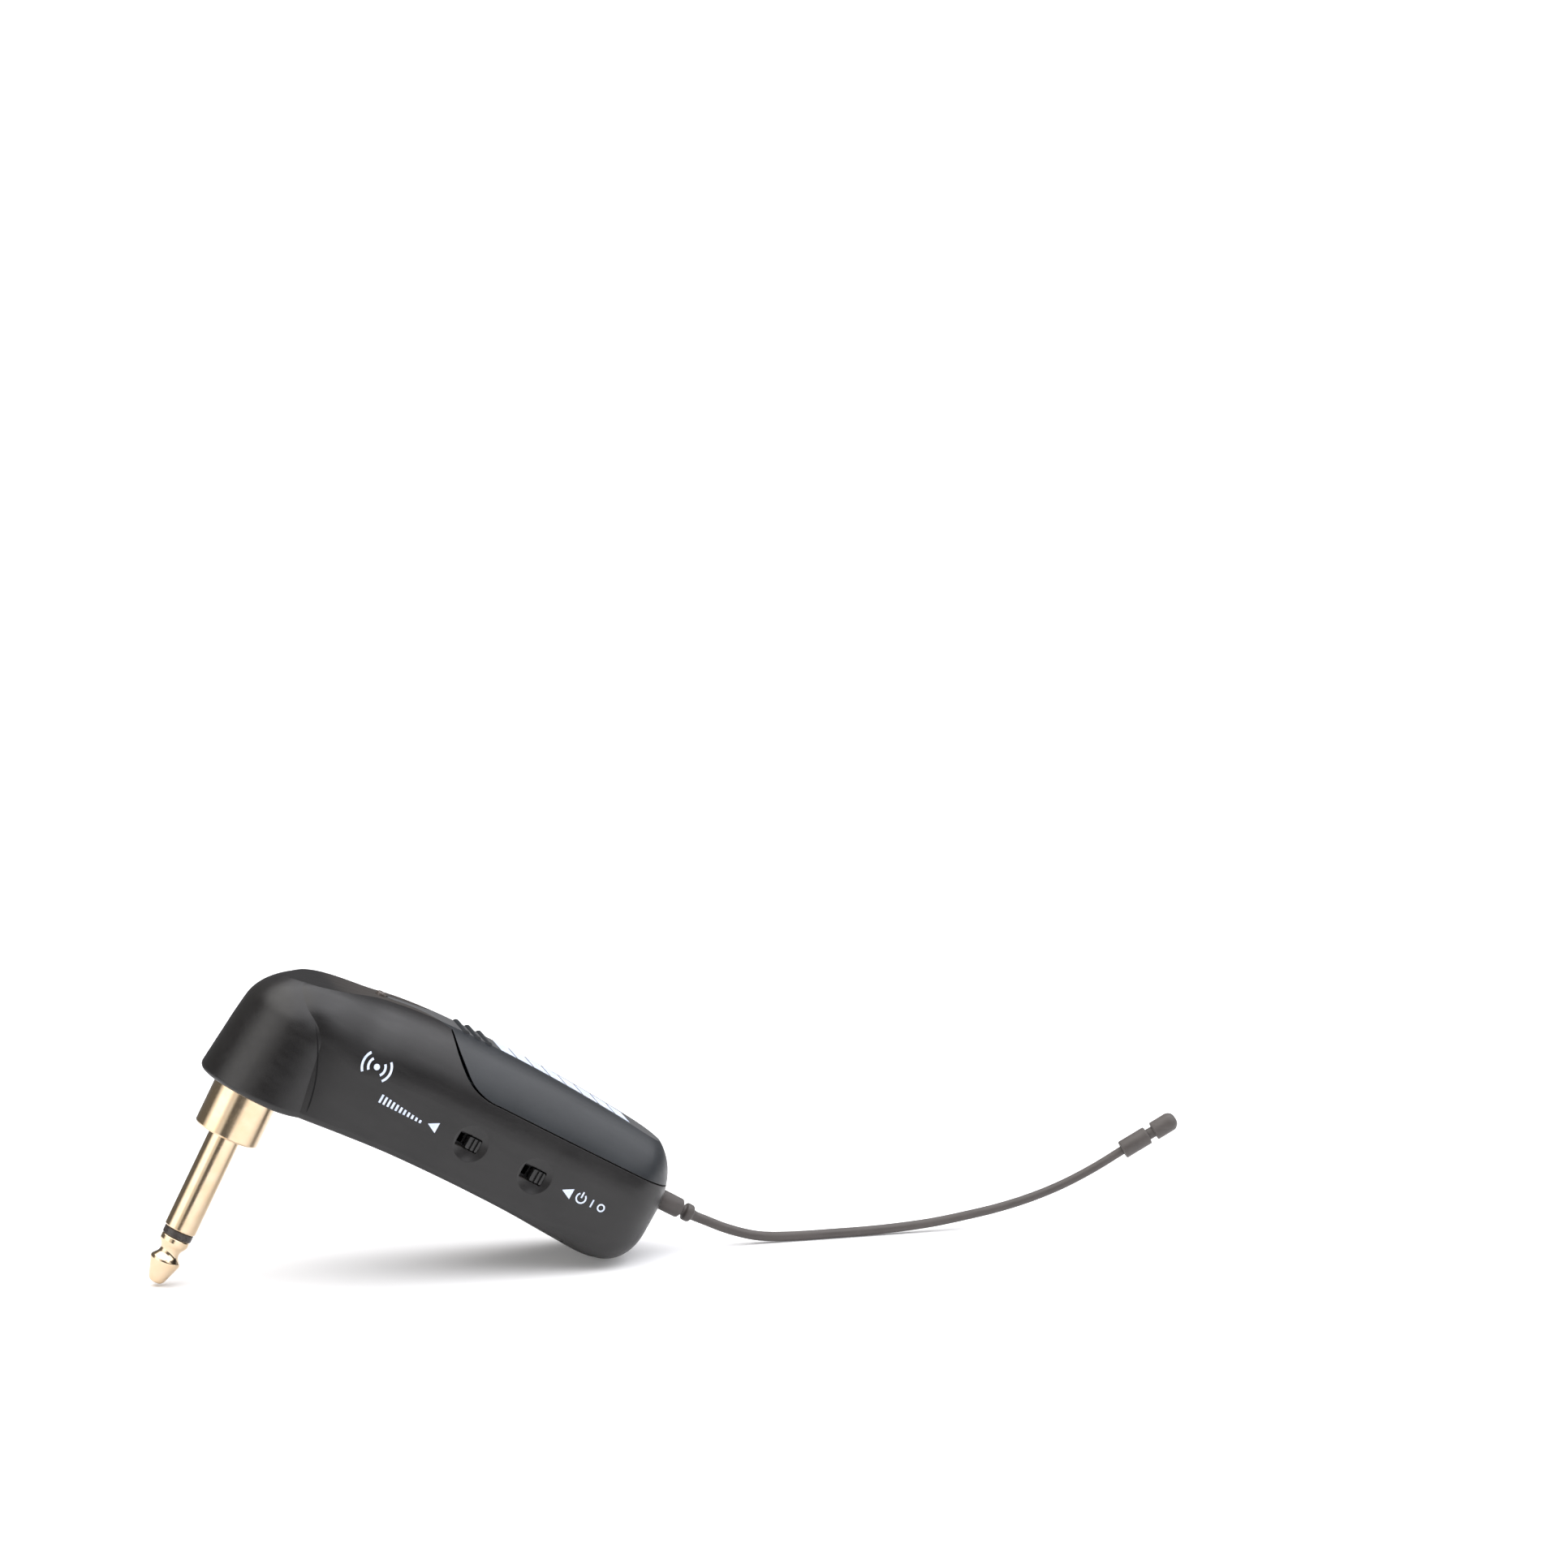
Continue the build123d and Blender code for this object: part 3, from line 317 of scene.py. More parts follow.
def cell_material():
    """printed film on a dry cell: a blue-grey part, a charcoal part towards the aerial,
    two pale lines, and bare steel at both ends; places are in the body frame"""
    mat = Material("cell_printed_film")
    place = mat.node("VectorMath", {0: mat.mm, 1: BODY_ORIGIN * 1000},
                     operation="SUBTRACT").outputs[0]
    cell_height = 9.2
    x = mat.dot(place, BX)
    y = mat.dot(place, BY)
    z = mat.dot(place, BZ, offset=-cell_height)
    radius = mat.math("SQRT", mat.add(mat.times(y, y), mat.times(z, z)))
    band = mat.ramp(x, span=(-0.6, -0.45), to=(1.0, 0.0), smooth=False)
    line = mat.window(x, rise=(0.3, 0.35), fall=(0.85, 0.9), smooth=False)
    far_line = mat.window(x, rise=(27.6, 27.65), fall=(28.3, 28.35), smooth=False)
    steel = mat.math("MAXIMUM",
                     mat.ramp(x, span=(-12.0, -11.85), to=(1.0, 0.0), smooth=False),
                     mat.ramp(x, span=(30.55, 30.7), smooth=False))
    core = mat.ramp(radius, span=(4.4, 4.3), smooth=False)
    core_amount = 1.0  # how bare the steel is inside the film's radius
    steel = mat.math("MAXIMUM", steel, mat.times(core, core_amount))
    cloud = mat.noise(scale=0.6, detail=4.0, rough=0.6)
    charcoal = mat.mix(mat.ramp(cloud), (0.010, 0.010, 0.011), (0.018, 0.018, 0.019))
    blue_grey = mat.mix(mat.ramp(cloud), (0.030, 0.052, 0.085), (0.040, 0.066, 0.105))
    colour = mat.mix(band, charcoal, blue_grey)
    colour = mat.mix(mat.math("MAXIMUM", line, far_line), colour, (0.42, 0.43, 0.45))
    colour = mat.mix(steel, colour, (0.66, 0.65, 0.62))
    waves = mat.times(mat.noise(scale=0.25, detail=2.0), 2.0)
    height = mat.add(mat.noise(scale=5.0, rough=0.6), waves)
    return mat.finish(
        Base_Color=colour,
        Metallic=mat.math("MAXIMUM", mat.times(band, 0.25), steel),
        Roughness=mat.add(mat.ramp(cloud, to=(0.20, 0.30)), mat.times(steel, 0.08)),
        Normal=mat.bump(height, distance=0.00001, strength=0.6),
        Coat_Weight=0.5, Coat_Roughness=0.12)


def rubber():
    """matt elastomer of the aerial: warm dark grey, streaked along X, with paler specks"""
    mat = Material("aerial_elastomer")
    streak = mat.streaks(Vector((1, 0, 0)), along=0.12, across=2.2, detail=4.0, rough=0.6)
    fine = mat.noise(scale=7.0, detail=4.0, rough=0.65)
    cloud = mat.noise(scale=0.16)
    colour = mat.mix(mat.ramp(cloud), (0.060, 0.0515, 0.0475), (0.076, 0.066, 0.061))
    dust = mat.ramp(fine, span=(0.60, 0.80), to=(0.0, 0.30))
    colour = mat.mix(dust, colour, (0.135, 0.122, 0.115))
    dark = mat.ramp(streak, span=(0.55, 0.8), to=(0.0, 0.35))
    colour = mat.mix(dark, colour, (0.030, 0.026, 0.024))
    roughness = mat.add(mat.ramp(cloud, to=(0.50, 0.60)),
                        mat.ramp(streak, span=(0.35, 0.7), to=(-0.05, 0.05)))
    normal = mat.bump(fine, distance=0.000014, strength=0.8)
    normal = mat.bump(streak, distance=0.00003, strength=0.35, normal=normal)
    return mat.finish(Base_Color=colour, Roughness=roughness, Normal=normal,
                      Sheen_Weight=0.12, Sheen_Roughness=0.5)


def ink():
    """pad-printed cool white ink with pinholes"""
    mat = Material("printed_ink")
    pinhole = mat.ramp(mat.voronoi(scale=3.4), span=(0.02, 0.07), to=(0.5, 0.0))
    cloud = mat.noise(scale=0.8, rough=0.6)
    colour = mat.mix(mat.ramp(cloud), (0.60, 0.68, 0.86), (0.74, 0.80, 0.95))
    colour = mat.mix(pinhole, colour, (0.10, 0.10, 0.11))
    return mat.finish(
        Base_Color=colour, Roughness=mat.ramp(cloud, to=(0.38, 0.52)),
        Normal=mat.bump(mat.noise(scale=9.0, rough=0.6), distance=0.000006, strength=0.7),
        Emission_Color=(0.66, 0.74, 0.92), Emission_Strength=0.0)


# the facet colours are painted reflections on the tops, not colours of the plastic
HOUSING = moulded("housing_satin", base=(0.0080, 0.0074, 0.0075), light=(0.0112, 0.0104, 0.0104),
                  rough=0.34, facet_painted_light=(0.040, 0.0345, 0.0305))
COVER = moulded("cover_satin", base=(0.0125, 0.0150, 0.0180), light=(0.0160, 0.0190, 0.0225),
                rough=0.35, facet_painted_light=(0.085, 0.086, 0.088))
GOLD = metal("gold_plating", base=(0.77, 0.61, 0.43), warm=(0.75, 0.57, 0.37),
             rough=0.11, lathe=PZ)
RING = simple("plug_insulator", base=(0.030, 0.024, 0.022), other=(0.045, 0.036, 0.032),
              rough=0.30, scale=0.9, bump=0.000004)
LENS = indicator_lens()
KNOB = moulded("switch_knob_plastic", base=(0.009, 0.009, 0.009), light=(0.014, 0.014, 0.014),
               rough=0.34, grain=0.6)
STEEL_DARK = metal("blackened_screw_steel", base=(0.16, 0.16, 0.165), warm=(0.20, 0.195, 0.19),
                   rough=0.34, lathe=BZ, tarnish=0.3)
# switch cases: dark metal, made darker still as painted shade for the shaded recess they sit in
SHADED_SWITCH_CASE = metal("switch_case_painted_shade", base=(0.035, 0.035, 0.037), warm=(0.05, 0.05, 0.05),
             rough=0.5, tarnish=0.3)
STEEL = metal("nickel_plate", base=(0.70, 0.69, 0.66), warm=(0.64, 0.62, 0.58),
              rough=0.24, tarnish=0.15)
TINNED = metal("tinned_brass", base=(0.74, 0.73, 0.70), warm=(0.66, 0.64, 0.60),
               rough=0.32, tarnish=0.2)
CAN = metal("drawn_aluminium", base=(0.80, 0.80, 0.81), warm=(0.74, 0.74, 0.75),
            rough=0.30, lathe=BZ, rings=18.0)
INNER = simple("tray_plastic", base=(0.012, 0.012, 0.012), other=(0.020, 0.020, 0.020),
               rough=0.48, scale=0.8)
RESIN = simple("chip_resin", base=(0.010, 0.010, 0.011), other=(0.018, 0.018, 0.019),
               rough=0.55, scale=3.0, fine_scale=18.0)
CERAMIC = simple("ceramic_body", base=(0.36, 0.27, 0.18), other=(0.44, 0.34, 0.24),
                 rough=0.42, scale=2.5)
INSULATOR = simple("plug_core_insulator", base=(0.60, 0.58, 0.53), other=(0.70, 0.68, 0.62),
                   rough=0.40)
WIRE = simple("wire_jacket", base=(0.30, 0.014, 0.012), other=(0.38, 0.022, 0.018),
              rough=0.36, scale=1.6)
LEAD = simple("lead_jacket", base=(0.020, 0.020, 0.022), other=(0.03, 0.03, 0.032),
              rough=0.38, scale=1.6)
BOARD = board_material()
CELL = cell_material()
AERIAL = rubber()
# painted shade: a dark line along the head-body valley, standing in for the shadow in the groove
CREASE_SHADE = simple("painted_crease_shade", base=(0.0035, 0.0035, 0.0038), other=(0.005, 0.005, 0.0052),
              rough=0.6, scale=1.5, bump=0.000006, spec=0.2)
INK = ink()

FINISH = {
    "main_housing": HOUSING, "bottom_cover": HOUSING, "battery_cover": COVER,
    "antenna_cap_base": AERIAL, "antenna_cap_end": AERIAL, "antenna_boot": AERIAL,
    "antenna_whip": AERIAL, "antenna_core": TINNED, "antenna_lead": LEAD,
    "battery_cell": CELL, "battery_contact_plates": STEEL, "battery_spring": STEEL,
    "battery_leads": WIRE, "battery_tray": INNER, "board_capacitor": CAN,
    "board_chips": RESIN, "board_passives": CERAMIC, "board_screws": STEEL,
    "case_screws": STEEL_DARK, "circuit_board": BOARD, "led_chip": CERAMIC,
    "led_light_pipe": LENS, "pad_switch_case": SHADED_SWITCH_CASE, "power_switch_case": SHADED_SWITCH_CASE,
    "pad_switch_knob": KNOB, "power_switch_knob": KNOB, "plug_collar": GOLD,
    "plug_sleeve": GOLD, "plug_tip": GOLD, "plug_insulator_ring": RING,
    "plug_inner_insulator": INSULATOR, "plug_lock_nut": STEEL, "plug_lugs": TINNED,
    "plug_wires": WIRE, "rf_shield_can": CAN,
}
for name, node in NODES.items():
    node.data.materials.clear()
    node.data.materials.append(FINISH[name])


# ------------------------------------------------------------------ mesh helpers
def new_object(name, bm, material, smooth=False):
    mesh = bpy.data.meshes.new(name)
    bmesh.ops.recalc_face_normals(bm, faces=bm.faces)
    bm.to_mesh(mesh)
    bm.free()
    made = bpy.data.objects.new(name, mesh)
    bpy.context.scene.collection.objects.link(made)
    mesh.materials.append(material)
    for polygon in mesh.polygons:
        polygon.use_smooth = smooth
    return made


def surface(name):
    mesh = NODES[name].data
    mesh.calc_loop_triangles()
    return BVHTree.FromPolygons([vert.co.copy() for vert in mesh.vertices],
                                [tuple(tri.vertices) for tri in mesh.loop_triangles])


housing_skin = surface("main_housing")
cover_skin = surface("battery_cover")


def land(skin, origin, direction, reach):
    """where a ray meets a skin, and the normal there, turned against the ray"""
    point, normal, _, _ = skin.ray_cast(origin, direction, reach)
    if point is None:
        raise RuntimeError(f"a ray from {origin} misses the surface")
    return point, (normal if normal.dot(direction) < 0 else -normal)


def on_side(x, z):
    """the -Y side of the housing"""
    return land(housing_skin, at(x, -40, z), BY, reach=0.05)


def on_top(x, y):
    """the top of the battery cover"""
    return land(cover_skin, at(x, y, 60), -BZ, reach=0.08)


# Each print or line is a thin closed sheet that straddles the surface (mm above and below).
PRINT_PROUD, PRINT_SUNK = 0.03, 0.04
CREASE_SHADE_PROUD, CREASE_SHADE_SUNK = 0.02, 0.05


def pair(bm, hit, proud=PRINT_PROUD, sunk=PRINT_SUNK):
    """a vertex above the surface and one below it"""
    point, normal = hit
    return bm.verts.new(point + normal * proud * MM), bm.verts.new(point - normal * sunk * MM)


def strip(bm, rows):
    """close a band through rows of two vertex pairs, leaving its ends open"""
    for a, b in zip(rows, rows[1:]):
        bm.faces.new((a[0][0], a[1][0], b[1][0], b[0][0]))
        bm.faces.new((a[0][1], b[0][1], b[1][1], a[1][1]))
        bm.faces.new((a[0][0], b[0][0], b[0][1], a[0][1]))
        bm.faces.new((a[1][0], a[1][1], b[1][1], b[1][0]))


def end_corners(row):
    return row[0][0], row[0][1], row[1][1], row[1][0]


def patch(bm, spread, columns, rows, cast):
    """a sheet over a grid: spread(u, v) gives the flat place, cast lays it on the surface"""
    grid = [[pair(bm, cast(*spread(i / columns, j / rows))) for j in range(rows + 1)]
            for i in range(columns + 1)]
    for a, b in zip(grid, grid[1:]):
        for j in range(rows):
            bm.faces.new((a[j][0], b[j][0], b[j + 1][0], a[j + 1][0]))
            bm.faces.new((a[j][1], a[j + 1][1], b[j + 1][1], b[j][1]))
    for a, b in zip(grid, grid[1:]):
        bm.faces.new((a[0][0], a[0][1], b[0][1], b[0][0]))
        bm.faces.new((a[rows][0], b[rows][0], b[rows][1], a[rows][1]))
    first, last = grid[0], grid[-1]
    for j in range(rows):
        bm.faces.new((first[j][0], first[j + 1][0], first[j + 1][1], first[j][1]))
        bm.faces.new((last[j][0], last[j][1], last[j + 1][1], last[j + 1][0]))


def on_circle(centre, radius, angle):
    return on_side(centre[0] + radius * math.cos(angle), centre[1] + radius * math.sin(angle))


def arc_band(bm, centre, radii, start, end, steps):
    """a band on the side between two radii and two angles in degrees, or a full ring"""
    full = end - start == 360
    rows = []
    for i in range(steps if full else steps + 1):
        angle = math.radians(start + (end - start) * i / steps)
        rows.append([pair(bm, on_circle(centre, radius, angle)) for radius in radii])
    if full:
        strip(bm, rows + rows[:1])
    else:
        strip(bm, rows)
        bm.faces.new(end_corners(rows[0])[::-1])
        bm.faces.new(end_corners(rows[-1]))


def disc(bm, centre, radius, steps=20):
    middle = pair(bm, on_side(*centre))
    rim = [pair(bm, on_circle(centre, radius, 2 * math.pi * i / steps)) for i in range(steps)]
    for a, b in zip(rim, rim[1:] + rim[:1]):
        bm.faces.new((middle[0], a[0], b[0]))
        bm.faces.new((middle[1], b[1], a[1]))
        bm.faces.new((a[0], a[1], b[1], b[0]))


def bar(x0, x1, z0, z1):
    def spread(u, v):
        return x0 + (x1 - x0) * u, z0 + (z1 - z0) * v
    return spread


def wedge(base_x, z0, z1, tip_x, tip_z):
    """narrows from its base to 4 % of its height at the tip"""
    def spread(u, v):
        base_z = (z0 + z1) / 2
        middle = base_z + (tip_z - base_z) * u
        return base_x + (tip_x - base_x) * u, middle + (v - 0.5) * (z1 - z0) * (1 - u * 0.96)
    return spread


# ------------------------------------------------------------------ prints and painted crease shade lines
# side prints: x and z in the body frame, mm
RADIO_CENTRE = (-24.9, 4.9)
RADIO_DOT = 0.62
RADIO_ARCS = (1.75, 3.0)        # mid radii
RADIO_HALF_WIDTH = 0.24
RADIO_HALF_ANGLE = 42

LEVEL_COUNT = 11
LEVEL_START = -21.2
LEVEL_PITCH = 0.92
LEVEL_BASE = -1.05
LEVEL_HEIGHT = 1.75             # of the first bar
LEVEL_DROP = 0.115              # from one bar to the next

POINTERS = (                    # base x, base z from and to, tip x, tip z
    (-8.05, -1.5, 0.71, -10.1, -0.42),
    (22.65, -1.2, 1.01, 20.54, -0.15),
)

POWER_CENTRE = (24.75, 0.0)
POWER_RADII = (0.82, 1.14)
POWER_HALF_GAP = 38             # degrees, either side of straight up
POWER_STEM = (0.05, 1.32)       # z from and to
POWER_STEM_HALF = 0.16
ON_BAR = (27.1, 27.42, -0.8, 0.8)
OFF_CENTRE = (29.35, 0.0)
OFF_RADII = (0.52, 0.82)

# top prints: eight plain blocks in a row along the cover
BLOCK_COUNT = 8
BLOCK_START = -0.7
BLOCK_LENGTH = 3.4
BLOCK_GAP = 0.42
BLOCK_HALF = 3.6


def side_prints():
    bm = bmesh.new()
    # radio mark: a dot with two pairs of arcs
    disc(bm, RADIO_CENTRE, RADIO_DOT)
    for radius in RADIO_ARCS:
        for middle in (0, 180):
            arc_band(bm, RADIO_CENTRE, (radius - RADIO_HALF_WIDTH, radius + RADIO_HALF_WIDTH),
                     middle - RADIO_HALF_ANGLE, middle + RADIO_HALF_ANGLE, steps=14)
    # level mark: bars that get shorter towards the aerial
    for i in range(LEVEL_COUNT):
        x = LEVEL_START + i * LEVEL_PITCH
        top = LEVEL_BASE + LEVEL_HEIGHT - LEVEL_DROP * i
        patch(bm, bar(x, x + LEVEL_PITCH / 2, LEVEL_BASE, top), 1, 3, on_side)
    for pointer in POINTERS:
        patch(bm, wedge(*pointer), 6, 3, on_side)
    # power mark: an open ring with a stem in its gap
    arc_band(bm, POWER_CENTRE, POWER_RADII, 90 + POWER_HALF_GAP, 90 + 360 - POWER_HALF_GAP,
             steps=24)
    x = POWER_CENTRE[0]
    patch(bm, bar(x - POWER_STEM_HALF, x + POWER_STEM_HALF, *POWER_STEM), 1, 3, on_side)
    # the two positions of the power switch: a bar and a ring
    patch(bm, bar(*ON_BAR), 1, 3, on_side)
    arc_band(bm, OFF_CENTRE, OFF_RADII, 0, 360, steps=22)
    return new_object("side_prints", bm, INK)


def top_prints():
    bm = bmesh.new()
    for i in range(BLOCK_COUNT):
        x = BLOCK_START + i * (BLOCK_LENGTH + BLOCK_GAP)
        patch(bm, bar(x, x + BLOCK_LENGTH, -BLOCK_HALF, BLOCK_HALF), 6, 14, on_top)
    return new_object("top_prints", bm, INK)


def crease_shade_lines():
    """a dark line painted where the rounded head meets the body, along the valley on both sides:
    painted shade standing in for the shadow in that groove
    """
    stations = 27
    start, pitch = 12.2, 0.62   # along PZ
    half_width = 0.15
    bm = bmesh.new()
    for side in (-1, 1):
        rows = []
        for i in range(stations):
            up = start + pitch * i
            # the valley's place along PX: a shallow parabola
            along = 8.2 - 0.215 * (up - start) - 0.0181 * (up - start) * (up - 21.5)
            # the line narrows towards both ends
            half = half_width * min(1.0, (stations - 1 - i) / 6 + 0.12, i / 3 + 0.3)
            row = []
            for shift in (-half, half):
                origin = (PX * (along + shift) + PZ * up) * MM + Vector((0, side * 0.04, 0))
                hit = land(housing_skin, origin, Vector((0, -side, 0)), reach=0.06)
                row.append(pair(bm, hit, CREASE_SHADE_PROUD, CREASE_SHADE_SUNK))
            rows.append(row)
        strip(bm, rows)
        bm.faces.new(end_corners(rows[0]))
        bm.faces.new(end_corners(rows[-1]))
    return new_object("crease_shade_lines", bm, CREASE_SHADE)


for build, body in ((crease_shade_lines, "housing"), (side_prints, "housing"),
                    (top_prints, "battery_cover")):
    piece = build()
    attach(piece, "body" if body is None else body)

# ------------------------------------------------------------------ the aerial
# boot and neck: x in the body frame and radius, mm
BOOT = [
    (39.5, 1.3), (42.3, 1.45), (42.68, 1.5), (42.75, 1.80), (42.92, 1.95), (45.5, 1.98),
    (48.0, 1.95), (48.25, 1.88), (48.42, 1.66), (48.5, 1.30), (48.6, 1.12), (48.9, 1.05),
    (49.2, 1.10), (49.32, 1.3), (49.38, 1.55), (49.52, 1.72), (49.8, 1.78), (50.6, 1.75),
    (50.86, 1.62), (51.04, 1.34), (51.16, 1.12), (51.5, 1.02), (52.1, 0.97),
]
# centre line of the whip: x and z in the shared frame, mm
WHIP = [
    (95.4, -24.2), (98.6, -25.7), (101.8, -26.9), (105, -27.8), (108.2, -28.25),
    (114.7, -28.5), (121.1, -28.5), (127.6, -28.45), (134, -28.2), (140.4, -27.7),
    (146.9, -26.8), (153.3, -25.7), (159.8, -24.1), (166.2, -21.9), (172.6, -18.95),
]
CAP = Vector((178.2, 0, -15.85)) * MM
CAP_DIRECTION = Vector((0.881, 0, 0.474)).normalized()
INTO_CAP = 3.0                  # how far the whip runs on past CAP
WHIP_RADIUS = 0.965
WHIP_TAPER = 0.115
AERIAL_SIDES = 28


def spline_points(points, steps):
    """centripetal Catmull-Rom through the points"""
    def between(a, b, ta, tb):
        return a * ((tb - t) / (tb - ta)) + b * ((t - ta) / (tb - ta))

    ends = points[0] * 2 - points[1], points[-1] * 2 - points[-2]
    controls = [ends[0]] + points + [ends[1]]
    out = []
    for k in range(1, len(controls) - 2):
        p0, p1, p2, p3 = controls[k - 1:k + 3]
        t0 = 0.0
        t1 = t0 + (p1 - p0).length ** 0.5
        t2 = t1 + (p2 - p1).length ** 0.5
        t3 = t2 + (p3 - p2).length ** 0.5
        for step in range(steps):
            t = t1 + (t2 - t1) * step / steps
            a1 = between(p0, p1, t0, t1)
            a2 = between(p1, p2, t1, t2)
            a3 = between(p2, p3, t2, t3)
            b1 = between(a1, a2, t0, t2)
            b2 = between(a2, a3, t1, t3)
            out.append(between(b1, b2, t1, t2))
    out.append(points[-1])
    return out


def aerial_skin():
    """boot, neck and whip as one continuous skin"""
    path = [(at(x, 0, AERIAL_HEIGHT), radius * MM) for x, radius in BOOT]
    line = [path[-1][0]] + [Vector((x, 0, z)) * MM for x, z in WHIP]
    line += [CAP, CAP + CAP_DIRECTION * INTO_CAP * MM]
    whip = spline_points(line, steps=7)[1:]
    # the taper is complete a little before the far end
    path += [(point, (WHIP_RADIUS - WHIP_TAPER * min(1.0, (i / len(whip)) * 1.1)) * MM)
             for i, point in enumerate(whip)]
    bm = bmesh.new()
    rings = []
    for i, (point, radius) in enumerate(path):
        along = path[min(i + 1, len(path) - 1)][0] - path[max(i - 1, 0)][0]
        up = along.normalized().cross(BY).normalized()
        ring = []
        for k in range(AERIAL_SIDES):
            angle = 2 * math.pi * k / AERIAL_SIDES
            ring.append(bm.verts.new(point + (BY * math.cos(angle) + up * math.sin(angle)) * radius))
        rings.append(ring)
    for a, b in zip(rings, rings[1:]):
        for k in range(AERIAL_SIDES):
            m = (k + 1) % AERIAL_SIDES
            bm.faces.new((a[k], a[m], b[m], b[k]))
    bm.faces.new(rings[0][::-1])
    bm.faces.new(rings[-1])
    return new_object("aerial_skin", bm, AERIAL, smooth=True)


skin = aerial_skin()
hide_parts("antenna_boot", "antenna_whip")
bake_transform(skin)

for node in NODES.values():
    if not node.hide_render:
        for polygon in node.data.polygons:
            polygon.use_smooth = True

# ------------------------------------------------------------------ floor
FLOOR_HALF = 3.0
FLOOR_CELLS = 12
FLOOR_GAP = 0.00002             # keeps the floor just clear of the lowest point


def floor_material():
    """pale paper, darkened in reflections behind and ahead of the product,
    and clear from below"""
    mat = Material("studio_floor")
    geometry = mat.node("NewGeometry")
    rays = mat.node("LightPath")
    y = mat.node("SeparateXYZ", {0: geometry.outputs["Position"]}).outputs["Y"]
    behind = mat.ramp(y, span=(0.02, 0.14))
    ahead = mat.ramp(y, span=(-0.42, -0.20), to=(1.0, 0.0))
    dark = mat.times(mat.math("MAXIMUM", behind, ahead), rays.outputs["Is Glossy Ray"])
    paper = mat.mix(mat.ramp(mat.noise(scale=0.02)), (0.90, 0.905, 0.91), (0.92, 0.92, 0.92))
    mat.finish(
        Base_Color=mat.mix(dark, paper, (0.10, 0.10, 0.10)), Roughness=0.75,
        Normal=mat.bump(mat.noise(scale=1.5, rough=0.6), distance=0.00001, strength=0.3),
        Specular_IOR_Level=0.1, Emission_Color=(1.0, 1.0, 1.0),
        Emission_Strength=mat.times(rays.outputs["Is Camera Ray"], 0.11))
    clear = mat.node("BsdfTransparent").outputs[0]
    sided = mat.node("MixShader", {0: geometry.outputs["Backfacing"],
                                   1: mat.shader.outputs[0], 2: clear})
    mat.put(mat.output.inputs["Surface"], sided.outputs[0])
    return mat.material


def floor():
    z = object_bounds()[0].z - FLOOR_GAP
    places = [-FLOOR_HALF + 2 * FLOOR_HALF * i / FLOOR_CELLS for i in range(FLOOR_CELLS + 1)]
    bm = bmesh.new()
    grid = [[bm.verts.new((x, y, z)) for y in places] for x in places]
    for a, b in zip(grid, grid[1:]):
        for j in range(FLOOR_CELLS):
            bm.faces.new((a[j], b[j], b[j + 1], a[j + 1]))
    made = new_object("studio_floor", bm, floor_material())
    # an open sheet may come out facing down
    if made.data.polygons[0].normal.z < 0:
        made.data.flip_normals()


floor()

# ------------------------------------------------------------------ light
# strengths of the soft boxes painted on the world
OVERHEAD, LEFT, FRONT, RIGHT, AMBIENT = 2.75, 1.95, 1.95, 0.25, 0.17


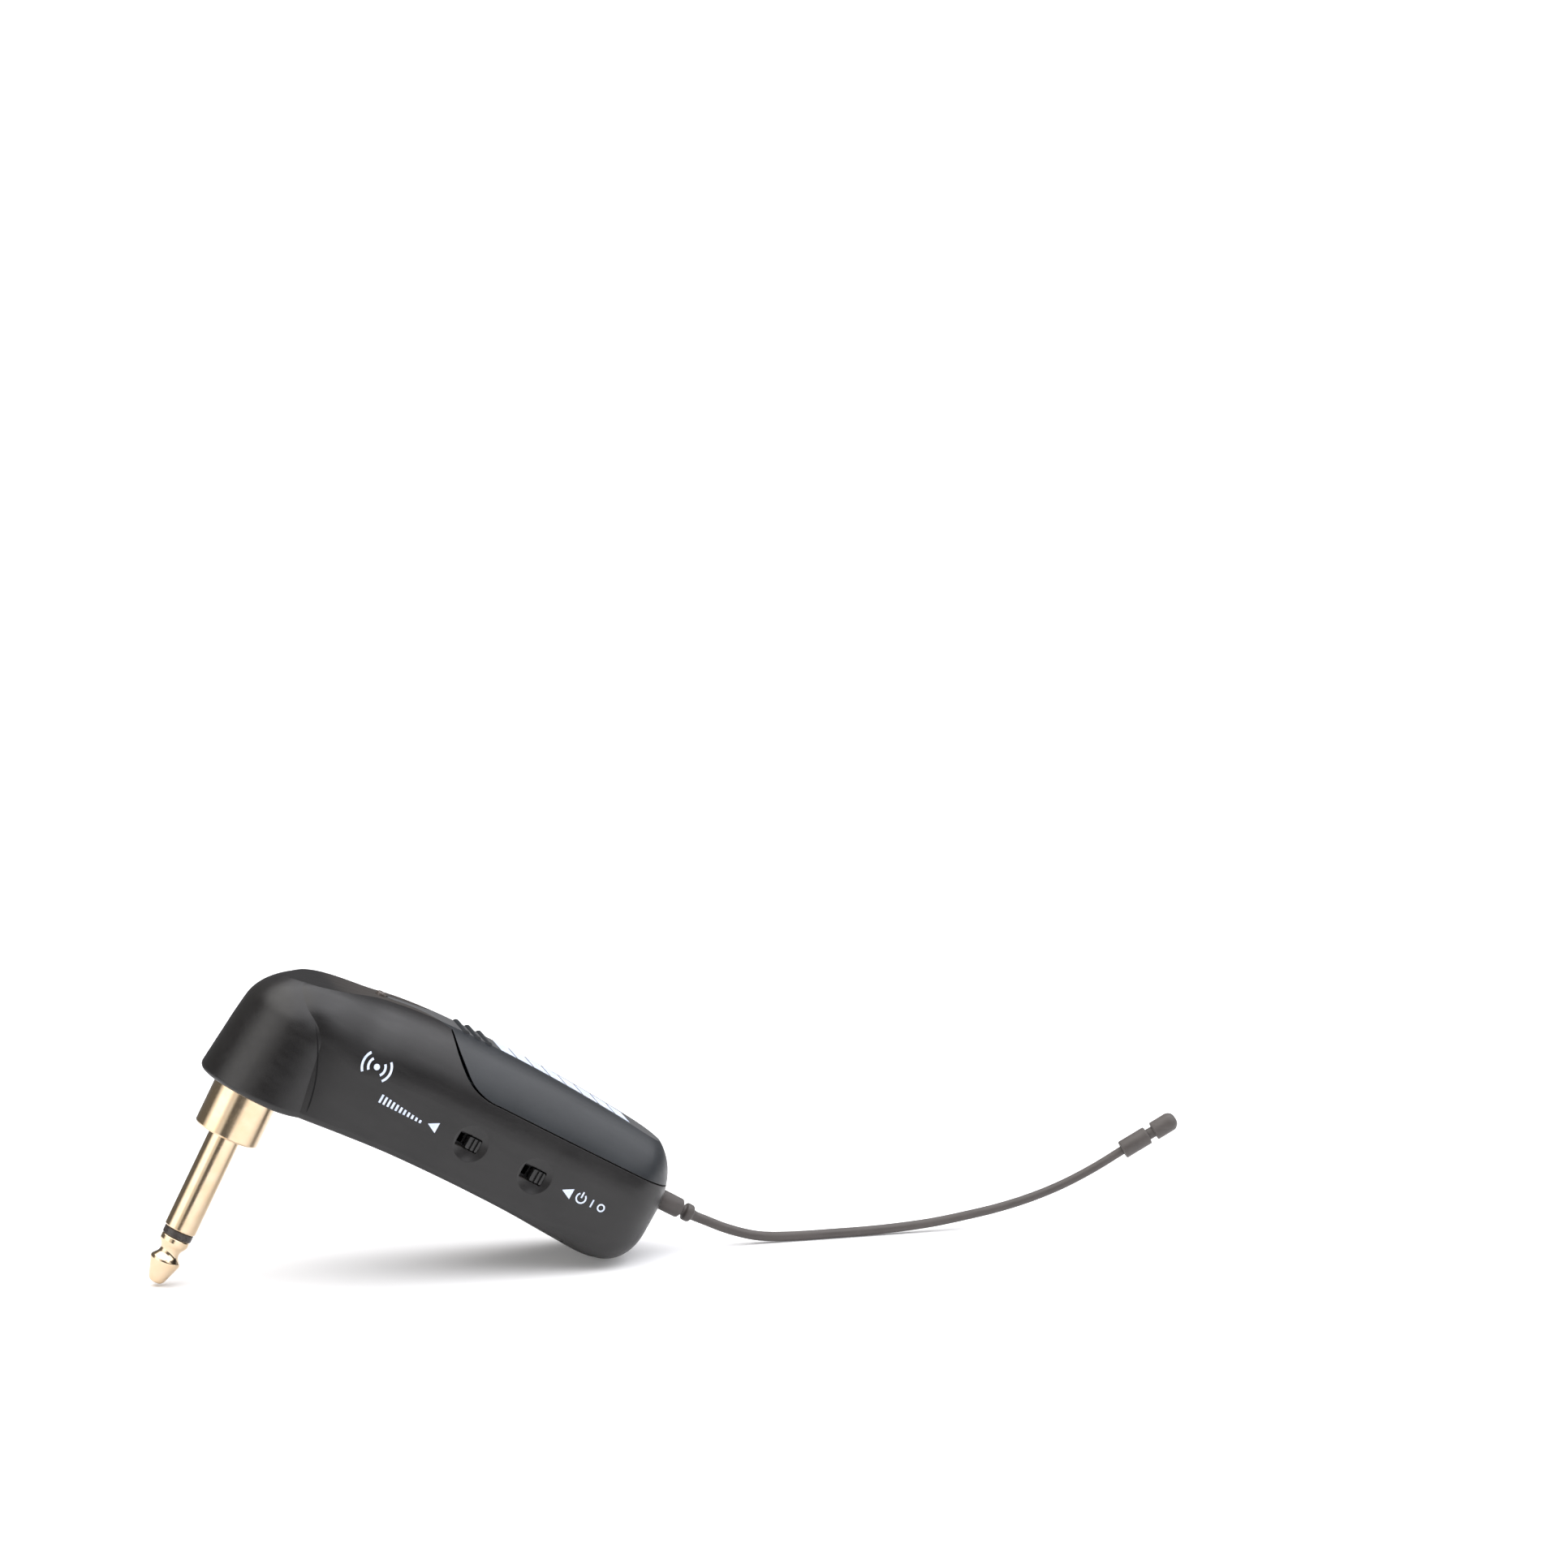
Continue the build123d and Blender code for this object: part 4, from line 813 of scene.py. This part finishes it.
def studio():
    """soft boxes for light and reflections, plain white for the camera"""
    world = bpy.data.worlds.new("studio")
    bpy.context.scene.world = world
    world.use_nodes = True
    sky = Graph(world.node_tree)
    output = sky.node("OutputWorld")
    direction = sky.node("TexCoord").outputs["Generated"]
    x, y, z = sky.node("SeparateXYZ", {0: direction}).outputs
    # azimuth in degrees from the front (-Y), growing to the left (-X); z stands for elevation
    azimuth = sky.times(sky.math("ARCTAN2", sky.times(x, -1.0), sky.times(y, -1.0)),
                        180 / math.pi)

    def box(across, rise, fall, strength):
        return sky.times(sky.times(across, sky.window(z, rise, fall)), strength)

    overhead = sky.times(sky.ramp(z, span=(0.62, 0.86)), OVERHEAD)
    wide = sky.times(sky.window(azimuth, rise=(32, 44), fall=(104, 118)), 0.42)
    core = sky.times(sky.window(azimuth, rise=(50, 66), fall=(90, 108)), 0.58)
    left = box(sky.add(wide, core), rise=(-0.10, 0.02), fall=(0.60, 0.74), strength=LEFT)
    front = box(sky.window(azimuth, rise=(-132, -106), fall=(-28, 0)),
                rise=(0.26, 0.42), fall=(0.72, 0.88), strength=FRONT)
    right = box(sky.window(azimuth, rise=(-150, -125), fall=(-95, -70)),
                rise=(0.0, 0.16), fall=(0.5, 0.7), strength=RIGHT)
    total = sky.add(sky.add(sky.add(overhead, left), sky.add(front, right)), AMBIENT)
    colour = sky.mix(sky.ramp(azimuth, span=(10, 40)), (0.965, 0.965, 1.0), (1.0, 0.98, 0.96))
    lit = sky.node("Background", {"Color": colour, "Strength": total})
    seen = sky.node("Background", {"Color": (1, 1, 1), "Strength": 1.0})
    camera_ray = sky.node("LightPath").outputs["Is Camera Ray"]
    mixed = sky.node("MixShader", {0: camera_ray, 1: lit.outputs[0], 2: seen.outputs[0]})
    sky.put(output.inputs["Surface"], mixed.outputs[0])
    world.cycles.sampling_method = "MANUAL"
    world.cycles.sample_map_resolution = 1024


studio()

# ------------------------------------------------------------------ camera
CAMERA_AZIMUTH = math.radians(-14)
CAMERA_ELEVATION = math.radians(16)
CAMERA_DISTANCE = 12.0
CAMERA_RIGHT, CAMERA_UP = 0.1075, 0.0674    # place of the view's centre
VIEW_WIDTH = 0.3019             # seen at the camera's distance
SENSOR_WIDTH = 36.0


def camera():
    scene = bpy.context.scene
    back = Vector((math.sin(CAMERA_AZIMUTH) * math.cos(CAMERA_ELEVATION),
                   -math.cos(CAMERA_AZIMUTH) * math.cos(CAMERA_ELEVATION),
                   math.sin(CAMERA_ELEVATION)))
    right = Vector((math.cos(CAMERA_AZIMUTH), math.sin(CAMERA_AZIMUTH), 0))
    up = back.cross(right)
    data = bpy.data.cameras.new("camera")
    made = bpy.data.objects.new("camera", data)
    scene.collection.objects.link(made)
    data.sensor_width = SENSOR_WIDTH
    data.lens = SENSOR_WIDTH * CAMERA_DISTANCE / VIEW_WIDTH
    data.clip_start, data.clip_end = 1.0, 40.0
    place = right * CAMERA_RIGHT + up * CAMERA_UP + back * CAMERA_DISTANCE
    turn = Matrix((right, up, back)).transposed().to_4x4()
    made.matrix_world = Matrix.Translation(place) @ turn
    scene.camera = made


camera()
bpy.context.scene.view_settings.view_transform = "Standard"
bpy.context.scene.view_settings.look = "None"
